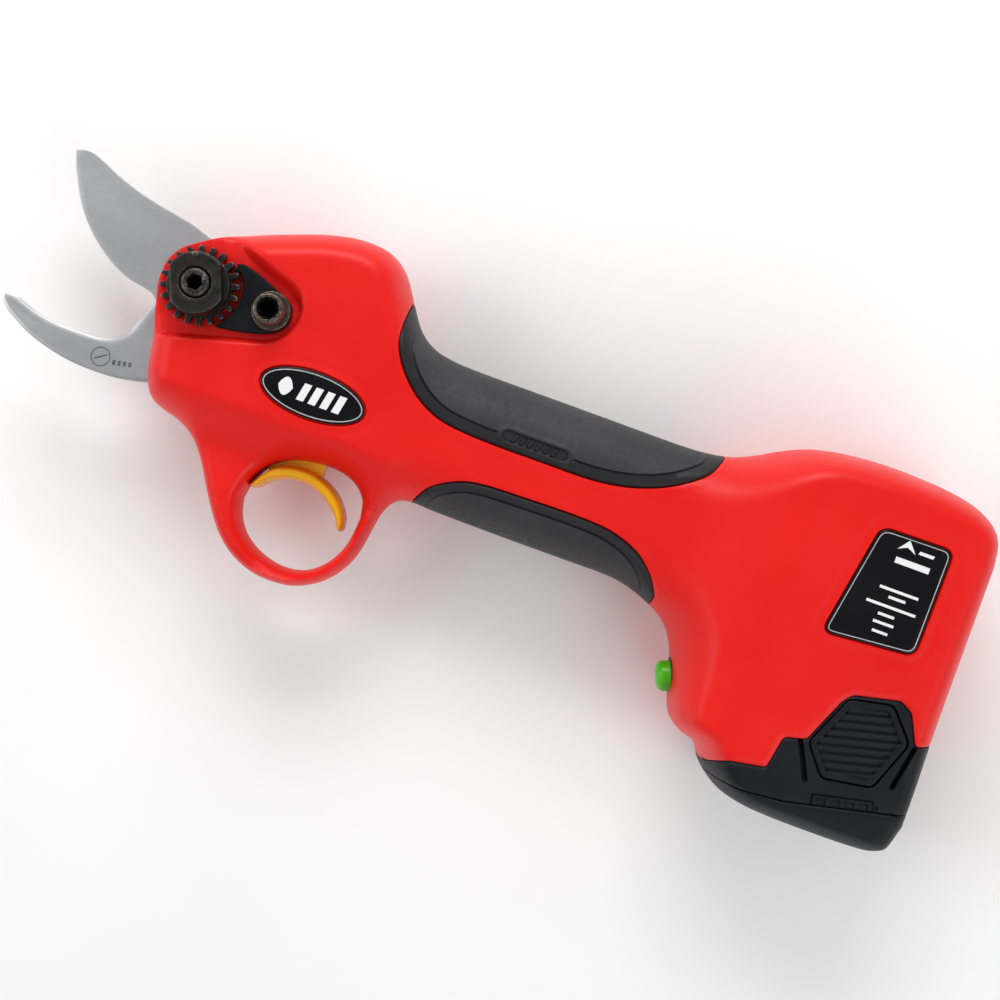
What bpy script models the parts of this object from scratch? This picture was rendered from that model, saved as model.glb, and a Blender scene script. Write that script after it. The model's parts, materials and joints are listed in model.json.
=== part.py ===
"""Battery electric pruner: red two-half housing, bypass blades, screw drive and slide-out battery.

Drawn in a tool frame in millimetres: blade pivot at the origin, +X along the handle to the battery,
+Y the top of the tool as it is held, +Z toward its left side. The tool lies on its right side, so
the tool frame is only shifted to put the middle of the bounding box over the world origin.
"""
import math

import bmesh
import bpy
import numpy as np

SHIFT = np.array([-89.7, 28.166, 26.0])  # tool frame to world, mm
MM = 0.001
AXIS_Y = -15.9           # line of motor, gearbox and lead screw
SEAM = 0.15              # half of the gap between the housing halves
WALL_HEAD, WALL_GRIP, WALL_REAR = 2.4, 3.7, 2.6
GRIP_DEPTH, GAP = 2.0, 0.3
BLADE_GAP = 0.2
FIXED_T, MOVING_T = 4.5, 4.0
PIN_RADIUS, PIN_ANGLE = 15.0, math.radians(-99)
BUTTON_AT, BUTTON_AIM = np.array([160.2, -57.5, 0]), math.atan2(-0.348, -0.937)
TRIGGER_AT = np.array([34.0, -31.5, 0])
TILT = math.radians(10)  # battery leans this far from straight down
BATTERY_AT = np.array([205.0, -80.0, 0])
CELL_R, CELL_L, CELL_PITCH = 9.2, 65.0, 18.8

TOP = [(-13, 0), (-12.2, 4.6), (-9.6, 8.9), (-5.6, 12), (-1, 15), (4, 17.9), (10, 20.7), (18, 23.8), (26, 26.6),
       (34, 28.4), (41, 28.6), (46.4, 27.2), (51, 23.6), (55.3, 17.2), (60, 10.6), (65, 7), (71, 5.5), (80, 5),
       (100, 5), (120, 5), (140, 5), (149, 5.6), (156, 7.2), (162, 10), (168, 13.4), (175, 16.4), (184, 18.3),
       (195, 19.2), (206, 19.1), (215, 18.4), (222.6, 16.8), (228.6, 13.6), (232, 8.8), (233.2, 2)]
CORE = [(-13, 0), (-12.6, -4), (-11.5, -8), (-10.8, -12), (-10.3, -16.5), (-9.5, -21.5), (-8.5, -26.5), (-7, -31),
        (-3, -34.8), (3.7, -36.2), (14, -36.4), (26, -35.6), (38, -34.8), (50, -34.8), (62, -35.6), (74, -36.4)]
RING = [(-13, 0), (-12.6, -4), (-11.5, -8), (-10.8, -12), (-10.3, -16.5), (-9.5, -21.5), (-8.4, -26.5), (-7, -30.6),
        (-4.6, -33.9), (-1, -35.6), (4, -37), (8.8, -39.6), (13.4, -44.6), (19.2, -54), (25, -62.2), (31, -67.4),
        (38, -70.3), (44.5, -70.9), (50.5, -70.1), (56.3, -67.3), (60.7, -63.2), (63.7, -58.2),
        (65.2, -53.2), (66, -48), (66.9, -42.8), (68.6, -38.9), (71.1, -36.9), (74.6, -36.3)]
REAR = [(82, -36.6), (100, -36.8), (120, -36.8), (133, -36.8), (140, -37.9), (146, -40), (151, -42.5), (155, -46.3),
        (157.8, -51.5), (159.9, -57.5), (161.6, -63.6), (163.3, -68.4), (166.4, -71.4), (170.4, -72.8), (173, -74.6),
        (174.8, -77.4), (178.2, -80.5), (183.4, -82.9), (191, -84.4), (200, -84.9), (212, -85), (222, -84.8),
        (227, -84.1), (230.8, -81.6), (233.2, -74)]
HOLE_LOW = [(28.4, -51.5), (29.6, -56.2), (32, -60), (36, -63.2), (41.4, -65.4), (47.2, -66), (52.6, -64.6),
            (57, -61), (60, -56.2), (61.4, -51), (61.9, -45.5)]
HOLE_HIGH = [(28.4, -51.5), (29.6, -45.9), (33.2, -40.2), (38.8, -36.6), (45, -35.2), (51.5, -35), (57, -36.8),
             (60.6, -40.4), (61.9, -45.5)]
CUT_LINE = [(150, -73.4), (172.3, -73.4), (189.3, -70.2), (191, -60.9), (197, -59.3), (202.6, -46.3), (204.8, -43.9),
            (217.6, -41), (221.4, -43.1), (225.3, -51.3), (245, -46.8)]
SEAM_LINE = [(160, -78.4), (186, -78.4), (197, -77.3), (224, -71.2), (245, -66.4)]
UPPER_GRIP = [(55.4, 30), (55.6, 10), (56.5, 4), (59.6, -1.8), (65, -7.4), (71, -11), (78, -12.9), (90, -13.6),
              (105, -13.6), (118, -13.5), (128, -12.2), (137, -9.3), (144, -5.4), (149.5, -0.8), (152.6, 5), (153, 30)]
LOWER_GRIP = [(74, -50), (74.3, -35.6), (77.6, -30.6), (83.8, -26.6), (91, -24.7), (105, -24.1), (119, -23.9),
              (129, -24.6), (137.5, -27.5), (143.5, -32.4), (147, -37.4), (147.5, -50)]
RECESS = [(-22, 15.8), (1, 15.8), (4.7, 15.2), (10.4, 11.9), (16.9, 9.3), (23.8, 7), (27.3, 4.6), (28.1, 1),
          (26.6, -4.4), (22, -7.9), (15.5, -10), (5, -12.8), (-4.6, -15.4), (-22, -18)]
HOOK_EDGE = [(-53.8, -20), (-51.1, -19.7), (-48.1, -20.7), (-43.7, -22.1), (-39.2, -22.9), (-35, -23.2),
             (-30.5, -23.2), (-25.5, -23), (-21.9, -22.2), (-19.5, -20.8), (-17.3, -18.4), (-16.2, -15.8),
             (-15.2, -13), (-14.2, -10.2), (-13.4, -7.4)]
HOOK_BACK = [(-6.5, -29.6), (-12.2, -31), (-17.7, -31.9), (-22.9, -32.1), (-28.2, -31.9), (-32.9, -31.3),
             (-37.1, -30.4), (-40.7, -29.4), (-44.6, -27.9), (-48.1, -26.1), (-51.8, -24), (-53.6, -22.2)]
BLADE_BACK = [(-50.1, 25.4), (-47.3, 26.3), (-44.4, 26), (-40.5, 24.4), (-36, 22.5), (-29.7, 20.4), (-23.6, 18.9),
              (-17.6, 17.8), (-11.7, 16.7), (-5.3, 14.7), (0, 13.9), (6.5, 12.2), (11, 8.6), (13.4, 3.6)]
BLADE_TAIL = [(13.6, -1.6), (11.4, -7.4), (7, -12), (3.6, -15.6), (1.6, -18.6), (-2.6, -20), (-6.6, -18.4),
              (-8, -14.6), (-10.4, -10.6), (-13.6, -7.6)]
BLADE_EDGE = [(-16, -5.7), (-18.4, -5), (-22.8, -4.2), (-26.8, -2.8), (-31.1, -0.5), (-35.9, 3), (-40.1, 7),
              (-43.3, 11), (-45.9, 15.3), (-48.4, 20.3), (-49.6, 23.4)]
# x, y, depth of the head seat and length of the boss in each half
SCREWS = [(15.2, -36.8, 7.5, 0), (42, 19.5, 13, 12.3), (63.4, -35.2, 7.5, 0), (149, -5.8, 10.6, 12.6),
          (152.6, -32.7, 12.1, 14.3), (181, 6.2, 18.3, 21.4), (219.8, 4.9, 17.6, 21.1)]

DOWELS = [(17.5, -23.5), (0.5, -25.5)]

MATERIALS = {  # colour, roughness, metallic
    "red_shell": ((0.72, 0.018, 0.012), 0.36, 0.0), "grip_rubber": ((0.035, 0.035, 0.037), 0.62, 0.0),
    "label_black": ((0.010, 0.010, 0.011), 0.22, 0.0), "blade_steel": ((0.46, 0.47, 0.49), 0.28, 1.0),
    "black_oxide": ((0.05, 0.045, 0.04), 0.42, 0.9), "bright_steel": ((0.55, 0.55, 0.56), 0.3, 1.0),
    "amber_plastic": ((0.86, 0.36, 0.004), 0.38, 0.0), "green_plastic": ((0.05, 0.40, 0.005), 0.3, 0.0),
    "battery_black": ((0.016, 0.020, 0.026), 0.5, 0.0), "dark_plastic": ((0.02, 0.02, 0.02), 0.5, 0.0),
    "brass": ((0.55, 0.38, 0.12), 0.35, 1.0), "board_green": ((0.01, 0.12, 0.03), 0.45, 0.0),
    "cell_wrap": ((0.03, 0.22, 0.42), 0.4, 0.0), "wire_red": ((0.6, 0.01, 0.01), 0.45, 0.0),
    "wire_black": ((0.015, 0.015, 0.015), 0.45, 0.0), "magnet": ((0.35, 0.35, 0.36), 0.3, 1.0),
}

for old in list(bpy.data.objects):
    bpy.data.objects.remove(old, do_unlink=True)

parts = bpy.data.collections.new("electric_pruner")
cutters = bpy.data.collections.new("cutters")
cutters.hide_render = True
for collection in (parts, cutters):
    bpy.context.scene.collection.children.link(collection)


def material(name):
    found = bpy.data.materials.get(name)
    if found:
        return found
    colour, roughness, metallic = MATERIALS[name]
    made = bpy.data.materials.new(name)
    made.use_nodes = True
    shader = made.node_tree.nodes["Principled BSDF"]
    shader.inputs["Base Color"].default_value = (*colour, 1)
    shader.inputs["Roughness"].default_value = roughness
    shader.inputs["Metallic"].default_value = metallic
    return made


def finish(bm, name, finish_name=None, at=(0, 0, 0), weld=1e-4):
    """Turns a bmesh in tool-frame millimetres into an object with its origin at a tool-frame point."""
    bmesh.ops.remove_doubles(bm, verts=bm.verts, dist=weld)
    bmesh.ops.recalc_face_normals(bm, faces=bm.faces)
    for vertex in bm.verts:
        vertex.co = [(vertex.co[i] - at[i]) * MM for i in range(3)]
    mesh = bpy.data.meshes.new(name)
    bm.to_mesh(mesh)
    bm.free()
    obj = bpy.data.objects.new(name, mesh)
    obj.location = [(at[i] + SHIFT[i]) * MM for i in range(3)]
    if finish_name:
        mesh.materials.append(material(finish_name))
        parts.objects.link(obj)
    else:
        cutters.objects.link(obj)
        obj.hide_render = True
        obj.display_type = "WIRE"
    return obj


def boolean(obj, other, operation="DIFFERENCE"):
    modifier = obj.modifiers.new(f"{operation.lower()}_{other.name}", "BOOLEAN")
    modifier.operation = operation
    modifier.solver = "EXACT"
    modifier.object = other
    return obj


def boolean_all(obj, others, operation="DIFFERENCE"):
    """One Boolean with every cutter of a collection."""
    group = bpy.data.collections.new(f"{operation.lower()}_{obj.name}")
    cutters.children.link(group)
    for other in others:
        cutters.objects.unlink(other)
        group.objects.link(other)
    modifier = obj.modifiers.new(group.name, "BOOLEAN")
    modifier.operation, modifier.solver = operation, "EXACT"
    modifier.operand_type, modifier.collection = "COLLECTION", group
    return obj


def smooth(points, per=5, closed=False):
    """A curve through the points, as a list of more points (Catmull-Rom)."""
    p = np.array(points, float)
    count = len(p)
    ends = [p[-1], *p, p[0], p[1]] if closed else [2 * p[0] - p[1], *p, 2 * p[-1] - p[-2]]
    out = []
    for i in range(count if closed else count - 1):
        a, b, c, d = ends[i:i + 4]
        for t in np.arange(per) / per:
            out.append(0.5 * (2 * b + (c - a) * t + (2 * a - 5 * b + 4 * c - d) * t**2 + (3 * b - a - 3 * c + d) * t**3))
    return np.array(out if closed else [*out, p[-1]])


def ramp(value, start, end):
    t = np.clip((np.asarray(value, float) - start) / (end - start), 0, 1)
    return t * t * (3 - 2 * t)


def distance(points, loops):
    """Distance of each point from the nearest of the closed outlines."""
    best = np.full(len(points), 1e9)
    for loop in loops:
        side = np.roll(loop, -1, axis=0) - loop
        away = points[:, None] - loop[None]
        along = np.clip((away * side).sum(-1) / np.maximum((side**2).sum(-1), 1e-9), 0, 1)
        best = np.minimum(best, np.linalg.norm(away - along[..., None] * side, axis=-1).min(1))
    return best


top_line, ring_line = smooth(TOP), smooth(RING + REAR)
core_line = smooth(CORE + REAR)
hole_low, hole_high = smooth(HOLE_LOW), smooth(HOLE_HIGH)
BODY_LOOPS = [np.vstack([top_line, ring_line[::-1]]), np.vstack([hole_low, hole_high[::-1]])]
CORE_LOOPS = [np.vstack([top_line, core_line[::-1]])]


def line_at(line, x):
    return np.interp(x, np.maximum.accumulate(line[:, 0]), line[:, 1])


def ringness(x, y):
    return ramp(-y, 26, 41) * (1 - ramp(x, 60, 76))


def half_width(x, y):
    """Half of the housing's thickness, before its edges round off."""
    w = 19 - 1.5 * ramp(x, 50, 72) + 8.5 * ramp(x, 140, 180)
    return w + (10 - w) * ringness(x, y)


def rounding(x, y):
    r = 9 + 6 * ramp(x, 50, 74) - 6 * ramp(x, 150, 185)
    r = r + (4 - r) * ramp(x, 148, 168) * ramp(-y, 40, 68)
    return r + (3.2 - r) * ringness(x, y)


def bulge(depth, power=2.1):
    s = 1 - np.clip(depth, 0, 1)
    return np.maximum(1 - s**power, 0) ** (1 / power)


def spaced(low, high, count):
    """Rows from low to high that crowd toward both ends."""
    t = np.linspace(0, 1, count + 1)
    t = 0.3 * t + 0.7 * (1 - np.cos(math.pi * t)) / 2
    return low + (high - low) * t


def body_columns(stations, low_rows, high_rows):
    columns = []
    for x in stations:
        low, high = line_at(ring_line, x), line_at(top_line, x)
        if hole_low[0, 0] < x < hole_low[-1, 0]:
            split = (line_at(hole_low, x), line_at(hole_high, x))
        else:
            share = 0.145 if x < 40 else 0.247
            end = hole_low[0] if x < 40 else hole_low[-1]
            at = end[1] if abs(x - end[0]) < 1e-6 else low + share * (high - low)
            split = (at, at)
        columns.append((spaced(low, split[0], low_rows), spaced(split[1], high, high_rows)))
    return columns


def pillow(stations, columns, height):
    """A closed solid on the stations: each column's bands of rows, at +height and -height."""
    bm = bmesh.new()
    grid = []
    for x, bands in zip(stations, columns):
        ys = np.concatenate(bands)
        zs = height(np.full(len(ys), x), ys)
        grid.append([(bm.verts.new((x, y, z)), bm.verts.new((x, y, -z))) for y, z in zip(ys, zs)])
    joins = np.cumsum([0] + [len(band) for band in columns[0]])
    for i in range(len(grid) - 1):
        a, b = grid[i], grid[i + 1]
        for start, stop in zip(joins[:-1], joins[1:]):
            for j in range(start, stop - 1):
                bm.faces.new((a[j][0], b[j][0], b[j + 1][0], a[j + 1][0]))
                bm.faces.new((a[j][1], a[j + 1][1], b[j + 1][1], b[j][1]))
        edges = [joins[0], joins[-1] - 1]
        for band in range(1, len(joins) - 1):
            k = joins[band]
            if any(abs(c[band - 1][-1] - c[band][0]) > 1e-6 for c in (columns[i], columns[i + 1])):
                edges += [k - 1, k]
        for j in edges:
            bm.faces.new((a[j][0], a[j][1], b[j][1], b[j][0]))
    for row in (grid[0], grid[-1]):
        for j in range(len(row) - 1):
            if abs(row[j][0].co.y - row[j + 1][0].co.y) > 1e-6:
                bm.faces.new((row[j][0], row[j][1], row[j + 1][1], row[j + 1][0]))
    return bm


def clean(bm, weld=1e-3):
    bmesh.ops.remove_doubles(bm, verts=bm.verts, dist=weld)
    bmesh.ops.dissolve_degenerate(bm, edges=bm.edges, dist=1e-4)
    return bm


def body_height(x, y):
    depth = distance(np.column_stack([x, y]), BODY_LOOPS)
    return 0.6 + (half_width(x, y) - 0.6) * bulge(depth / rounding(x, y))


def inner_pillow(name, stations, rows, inset, width):
    """The housing's shape moved inward: inset(x) from the outline, width(x, y) its half-thickness."""
    kept, columns = [], []
    for x in stations:
        ys = np.linspace(line_at(core_line, x), line_at(top_line, x), 240)
        inside = np.flatnonzero(distance(np.column_stack([np.full(240, x), ys]), CORE_LOOPS) >= inset(x))
        if len(inside) > 6:
            kept.append(x)
            columns.append((spaced(ys[inside[0]], ys[inside[-1]], rows),))

    def height(x, y):
        depth = distance(np.column_stack([x, y]), CORE_LOOPS) - inset(x)
        r = 9 + 6 * ramp(x, 50, 74) - 6 * ramp(x, 150, 185)
        return 0.6 + (width(x, y) - 0.6) * bulge(np.maximum(depth, 0) / (0.9 * r))

    return finish(clean(pillow(kept, columns, height)), name)


def prism(name, outline, low, high, finish_name=None, holes=(), at=(0, 0, 0), bevel=0.0):
    """A flat plate: a filled 2D curve, extruded, with rounded rims where bevel is given."""
    curve = bpy.data.curves.new(name, "CURVE")
    curve.dimensions = "2D"
    curve.fill_mode = "BOTH"
    curve.extrude = (high - low) / 2 - bevel
    curve.bevel_depth, curve.bevel_resolution, curve.offset = bevel, 1, -bevel
    for loop in (outline, *holes):
        spline = curve.splines.new("POLY")
        spline.points.add(len(loop) - 1)
        for point, (x, y) in zip(spline.points, loop):
            point.co = (x, y, 0, 1)
        spline.use_cyclic_u = True
    holder = bpy.data.objects.new(name + "_curve", curve)
    mesh = bpy.data.meshes.new_from_object(holder)
    bpy.data.objects.remove(holder)
    bm = bmesh.new()
    bm.from_mesh(mesh)
    bmesh.ops.translate(bm, verts=bm.verts, vec=(0, 0, (low + high) / 2))
    bpy.data.meshes.remove(mesh)
    return finish(bm, name, finish_name, at, weld=1e-3)


def arc(radius, start, end, count, centre=(0, 0)):
    angles = np.radians(np.linspace(start, end, count))
    return [(centre[0] + radius * math.cos(a), centre[1] + radius * math.sin(a)) for a in angles]


def circle(radius, centre=(0, 0), count=20):
    return arc(radius, 0, 360 * (1 - 1 / count), count, centre)


def turned(name, profile, finish_name=None, at=(0, 0, 0), axis="Z", aim=0.0, segments=20):
    """A turned solid: profile of (radius, height) spun round the axis through `at`."""
    bm = bmesh.new()
    verts = [bm.verts.new((r, 0, h)) for r, h in profile]
    edges = [bm.edges.new(pair) for pair in zip(verts, verts[1:])]
    if profile[0][0] > 0:
        edges.append(bm.edges.new((verts[-1], verts[0])))
    bmesh.ops.spin(bm, geom=verts + edges, cent=(0, 0, 0), axis=(0, 0, 1), angle=2 * math.pi, steps=segments)
    bmesh.ops.remove_doubles(bm, verts=bm.verts, dist=1e-4)
    for v in bm.verts:
        x, y, z = v.co
        if axis == "X":
            v.co = (z, x, y)
        elif axis == "AIM":
            v.co = (z * math.cos(aim) - x * math.sin(aim), z * math.sin(aim) + x * math.cos(aim), y)
        v.co = [v.co[i] + at[i] for i in range(3)]
    return finish(bm, name, finish_name, at)


def rod(radius, low, high):
    return [(0, low), (radius, low), (radius, high), (0, high)]


def tube(inner, outer, low, high):
    return [(inner, low), (outer, low), (outer, high), (inner, high)]


def box(name, low, high, finish_name=None, at=(0, 0, 0), turn=0.0, about=(0, 0, 0), bevel=0.0):
    bm = bmesh.new()
    bmesh.ops.create_cube(bm, size=1)
    low, high = np.array(low, float), np.array(high, float)
    for v in bm.verts:
        v.co = [(low[i] + high[i]) / 2 + v.co[i] * (high[i] - low[i]) for i in range(3)]
    if bevel:
        bmesh.ops.bevel(bm, geom=bm.edges[:], offset=bevel, segments=2, profile=0.5, affect="EDGES")
    for v in bm.verts:
        x, y, z = (v.co[i] - about[i] for i in range(3))
        c, s = math.cos(turn), math.sin(turn)
        v.co = (about[0] + c * x - s * y, about[1] + s * x + c * y, about[2] + z)
    return finish(bm, name, finish_name, at)


def bevelled_plate(name, outline, near, low, high, finish_name, bore, grind=None, at=(0, 0, 0)):
    """A blade: one face has the full outline, the other is set back where the edge is ground."""
    bm = bmesh.new()
    land = low + (high - low) * 0.25 if grind == "high" else high - (high - low) * 0.25
    levels = [(outline, low), (outline, land), (near, high)] if grind == "high" else \
        [(near, low), (outline, land), (outline, high)]
    rings = [[bm.verts.new((x, y, z)) for x, y in loop] for loop, z in levels]
    for a, b in zip(rings, rings[1:]):
        for i in range(len(a)):
            j = (i + 1) % len(a)
            bm.faces.new((a[i], a[j], b[j], b[i]))
    bm.faces.new(rings[0][::-1])
    bm.faces.new(rings[-1])
    blade = finish(bm, name, finish_name, at)
    for number, (x, y, radius) in enumerate(bore):
        boolean(blade, turned(f"{name}_bore_{number}", rod(radius, low - 2, high + 2), at=(x, y, 0)))
    return blade


def moved_back(points, amount):
    """The same number of points, shifted to the left of the way they run, fading at both ends."""
    p = np.array(points)
    run = np.gradient(p, axis=0)
    run /= np.linalg.norm(run, axis=1)[:, None]
    fade = np.clip(np.minimum(np.arange(len(p)), np.arange(len(p))[::-1]) / 3, 0, 1)[:, None]
    return p + np.column_stack([-run[:, 1], run[:, 0]]) * amount * fade


def wire(name, points, radius, finish_name):
    """A round wire: a POLY spline with a bevel and filled caps."""
    curve = bpy.data.curves.new(name, "CURVE")
    curve.dimensions = "3D"
    curve.bevel_depth, curve.bevel_resolution, curve.use_fill_caps = radius * MM, 2, True
    spline = curve.splines.new("POLY")
    spline.points.add(len(points) - 1)
    for point, co in zip(spline.points, points):
        point.co = (*[(co[i] + SHIFT[i]) * MM for i in range(3)], 1)
    curve.materials.append(material(finish_name))
    obj = bpy.data.objects.new(name, curve)
    parts.objects.link(obj)
    return obj


# ---- housing ------------------------------------------------------------------------------
HOLE_X = hole_low[0, 0] + (hole_low[-1, 0] - hole_low[0, 0]) * (1 - np.cos(np.linspace(0, math.pi, 11))) / 2
STATIONS = [-13, -12.6, -11.4, -9.4, -6, -1, 6, 12, 18, 23, 26.5, *HOLE_X, 63, 65.2, 67, 68.4, 70, 72.4, 76, 88, 112, 136, 145, 151,
            155.5, 159, 162, 165, 169, 175, 182, 194, 208, 218, 226, 230.4, 232.6, 233.2]
CORE_STATIONS = [-10.6, -9.6, -7, -2, 8, 20, 34, 45, 52, 60, 76, 105, 136, 147, 154, 159, 163, 169, 178, 192, 208,
                 219, 226, 229.4, 230.5]


def wall(x):
    x = np.asarray(x, float)
    return WALL_HEAD + (WALL_GRIP - WALL_HEAD) * ramp(x, 46, 56) + (WALL_REAR - WALL_GRIP) * ramp(x, 152, 160)


def cavity_width(x, y):
    return 10.5 + 3.3 * ramp(x, 42, 54) + 9 * ramp(x, 146, 176)


def body(name, finish_name=None):
    return finish(clean(pillow(STATIONS, body_columns(STATIONS, 5, 9), body_height)), name, finish_name)


def skin(name, inset):
    stations = [x for x in STATIONS if 44 < x < 164]
    return inner_pillow(name, stations, 9, lambda x: inset + 0 * x, lambda x, y: half_width(x, 0) - inset)


cavity = inner_pillow("cavity", CORE_STATIONS, 7, wall, cavity_width)
grip_floor, grip_back = skin("grip_floor", GRIP_DEPTH + GAP), skin("grip_back", GRIP_DEPTH)
upper_loop = [*UPPER_GRIP[:1], *smooth(UPPER_GRIP[1:-1], 3), *UPPER_GRIP[-1:]]
lower_loop = [*LOWER_GRIP[:1], *smooth(LOWER_GRIP[1:-1], 3), *LOWER_GRIP[-1:]]


def shrunk(loop, amount):
    """The outline moved inward, for plates that sit in a pocket."""
    p = np.array(loop, float)
    run = np.roll(p, -1, axis=0) - np.roll(p, 1, axis=0)
    run /= np.linalg.norm(run, axis=1)[:, None]
    area = (p[:, 0] * np.roll(p[:, 1], -1) - np.roll(p[:, 0], -1) * p[:, 1]).sum()
    return p + np.column_stack([-run[:, 1], run[:, 0]]) * amount * (1 if area > 0 else -1)


def housing(side):
    left = side == "left"
    sign = 1 if left else -1
    shell = body(f"housing_{side}", "red_shell")

    def between(low, high):
        return tuple(sorted((sign * low, sign * high)))

    z0, z1 = between(SEAM, 60)
    boolean(shell, box(f"half_{side}", (-30, -100, z0), (250, 50, z1)), "INTERSECT")
    floors = prism(f"upper_{side}", upper_loop, *between(-1, 40)), prism(f"lower_{side}", lower_loop, *between(-1, 40))
    for floor in floors:
        boolean(floor, grip_floor)
        boolean(shell, floor)
    boolean(shell, cavity)
    bosses = [(3.8, SEAM + 0.1, length, x, y) for x, y, _, length in SCREWS if length]
    bosses += [(10.5, 5.1, 12.5, 0, 0)] if left else [(8.4, 5.7, 12.5, 0, 0)]
    if left:
        bosses += [(4.3, 5.1, 12.5, x, y) for x, y in DOWELS]
    boolean_all(shell, [turned(f"boss_{side}_{number}", rod(radius, *between(low, high)), at=(x, y, 0))
                        for number, (radius, low, high, x, y) in enumerate(bosses)], "UNION")
    low, high = (-1, 5.0) if left else (-5.6, 1)
    bay = box(f"bay_{side}", BATTERY_AT + (-21.2, -20, -21.2), BATTERY_AT + (21.2, 74.8, 21.2), None, (0, 0, 0), TILT,
              BATTERY_AT)
    cuts = [bay, turned(f"pivot_room_{side}", rod(16, low, high)), box(f"jaw_{side}", (-22, -31.5, -5.0 if left else -5.6), (-2.5, 24, 5.0 if left else 5.6)),
            box(f"web_slot_{side}", (31, -44, -3.4), (49, -29, 3.4)),
            turned(f"pin_bore_{side}", rod(1.9, -6.8, 6.8), at=TRIGGER_AT),
            turned(f"button_bore_{side}", rod(6.0, -9, 9), at=BUTTON_AT, axis="AIM", aim=BUTTON_AIM),
            prism(f"below_{side}", [*CUT_LINE, (245, -110), (150, -110)], -40, 40),
            turned(f"bolt_bore_{side}", rod(4.3, -40, 40)),
            prism(f"badge_floor_{side}", ellipse(15.3, 6.8), *between(18.3, 40))]
    for number, (x, y, seat, _) in enumerate(SCREWS):
        bore = [(0, -2), (1.8, -2), (1.8, 6.6), (0, 6.6)]
        if not left:
            bore = [(0, -40), (3.5, -40), (3.5, -seat), (1.8, -seat), (1.8, 2), (0, 2)]
        cuts.append(turned(f"screw_bore_{side}_{number}", bore, at=(x, y, 0), segments=20))
    if left:
        cuts += [prism("recess", RECESS, 15, 40), turned("lock_bore", rod(2.8, 7, 20), at=(20.8, 0.1, 0)),
                 prism("plate_floor", shrunk(PLATE, -0.35), 24.6, 40)]
        cuts += [turned(f"dowel_bore_{x}", rod(2.5, 0, 10.4), at=(x, y, 0)) for x, y in DOWELS]
    else:
        cuts += [turned("head_pocket", rod(9.6, -40, -14.8)), box("yoke_room", (-8.2, -22.6, -9.4), (14, -8.6, 1))]
    boolean_all(shell, cuts)
    return shell


def ellipse(a, b, centre=(39.5, -17.8), count=24):
    return [(centre[0] + a * math.cos(t), centre[1] + b * math.sin(t))
            for t in np.linspace(0, 2 * math.pi, count, endpoint=False)]


def rounded(corners, radius, count=4):
    """The outline with each corner replaced by an arc-like curve."""
    out = []
    for i, corner in enumerate(np.array(corners, float)):
        before, after = (np.array(corners[i - 1], float), np.array(corners[(i + 1) % len(corners)], float))
        a = corner + (before - corner) / np.linalg.norm(before - corner) * radius
        b = corner + (after - corner) / np.linalg.norm(after - corner) * radius
        for t in np.linspace(0, 1, count):
            out.append((1 - t) ** 2 * a + 2 * t * (1 - t) * corner + t * t * b)
    return out


PLATE = rounded([(196.6, 1.2), (217, 1.6), (216.6, -28.4), (191, -30.6)], 3)
housing("left")
housing("right")

for side, sign in (("left", 1), ("right", -1)):
    for level, loop in (("upper", upper_loop), ("lower", lower_loop)):
        grip = body(f"grip_{level}_{side}", "grip_rubber")
        z = sorted((sign * SEAM, sign * 40))
        boolean(grip, prism(f"{level}_patch_{side}", shrunk(loop, GAP), *z), "INTERSECT")
        boolean(grip, grip_back)
    z = sorted((sign * 18.6, sign * 19.5))
    prism(f"badge_{side}", ellipse(14.9, 6.4), *z, "label_black", bevel=0.2)
prism("rating_plate", PLATE, 24.9, 25.9, "label_black", bevel=0.2)

for number, (x, y, seat, _) in enumerate(SCREWS, 1):
    screw = turned(f"housing_screw_{number}", [(0, -seat - 2.4), (2.2, -seat - 2.4), (3, -seat - 1.6),
                   (3, -seat - 0.3), (1.45, -seat - 0.3), (1.45, 5.2), (0, 6)], "black_oxide", (x, y, 0), segments=16)
    slot = box(f"cross_{number}", (x - 1.7, y - 0.35, -seat - 4), (x + 1.7, y + 0.35, -seat - 1.4))
    boolean(screw, slot)

# ---- blades and pivot ---------------------------------------------------------------------
edge, back = smooth(HOOK_EDGE, 2), smooth(HOOK_BACK, 2)
tang = [*arc(12, 205, 20, 14), (17.5, 1), (21.5, -6), (22.8, -14), (22, -24), (18.5, -28.8), (10, -30.2), (2, -29.8)]
set_back = moved_back(edge, -3.0)
bevelled_plate("fixed_blade", [*edge, *tang, *back], [*set_back, *tang, *moved_back(back, 0.8 * -1)], BLADE_GAP,
               BLADE_GAP + FIXED_T, "blade_steel", [(0, 0, 5.8), (17.5, -23.5, 2.3), (0.5, -25.5, 2.3)], "high")
cutting, rest = smooth(BLADE_EDGE, 2), [*smooth(BLADE_BACK, 2), *smooth(BLADE_TAIL, 2)]
pin_at = (PIN_RADIUS * math.cos(PIN_ANGLE), PIN_RADIUS * math.sin(PIN_ANGLE), 0)
bevelled_plate("moving_blade", [*cutting, *rest], [*moved_back(cutting, -3.2), *rest], -BLADE_GAP - MOVING_T,
               -BLADE_GAP, "blade_steel", [(0, 0, 5.8), (*pin_at[:2], 2.8)], "low")
turned("drive_pin", [(0, -8.9), (2.2, -8.9), (2.5, -8.6), (2.5, -0.6), (0, -0.6)], "bright_steel", pin_at)
turned("pivot_bush", tube(4.2, 5.5, -4.5, 4.9), "bright_steel")
turned("thrust_washer", tube(4.2, 7.8, -5.4, -4.6), "brass")
bolt = turned("pivot_bolt", [(0, -18.8), (8.2, -18.8), (9, -18), (9, -15.1), (3.9, -15.1), (3.9, 25.2), (3.2, 26),
              (0, 26)], "black_oxide")
hexagon = [(2.3 * math.cos(a), 2.3 * math.sin(a)) for a in np.arange(6) * math.pi / 3]
boolean(bolt, prism("bolt_socket", hexagon, 23.4, 30))

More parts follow.
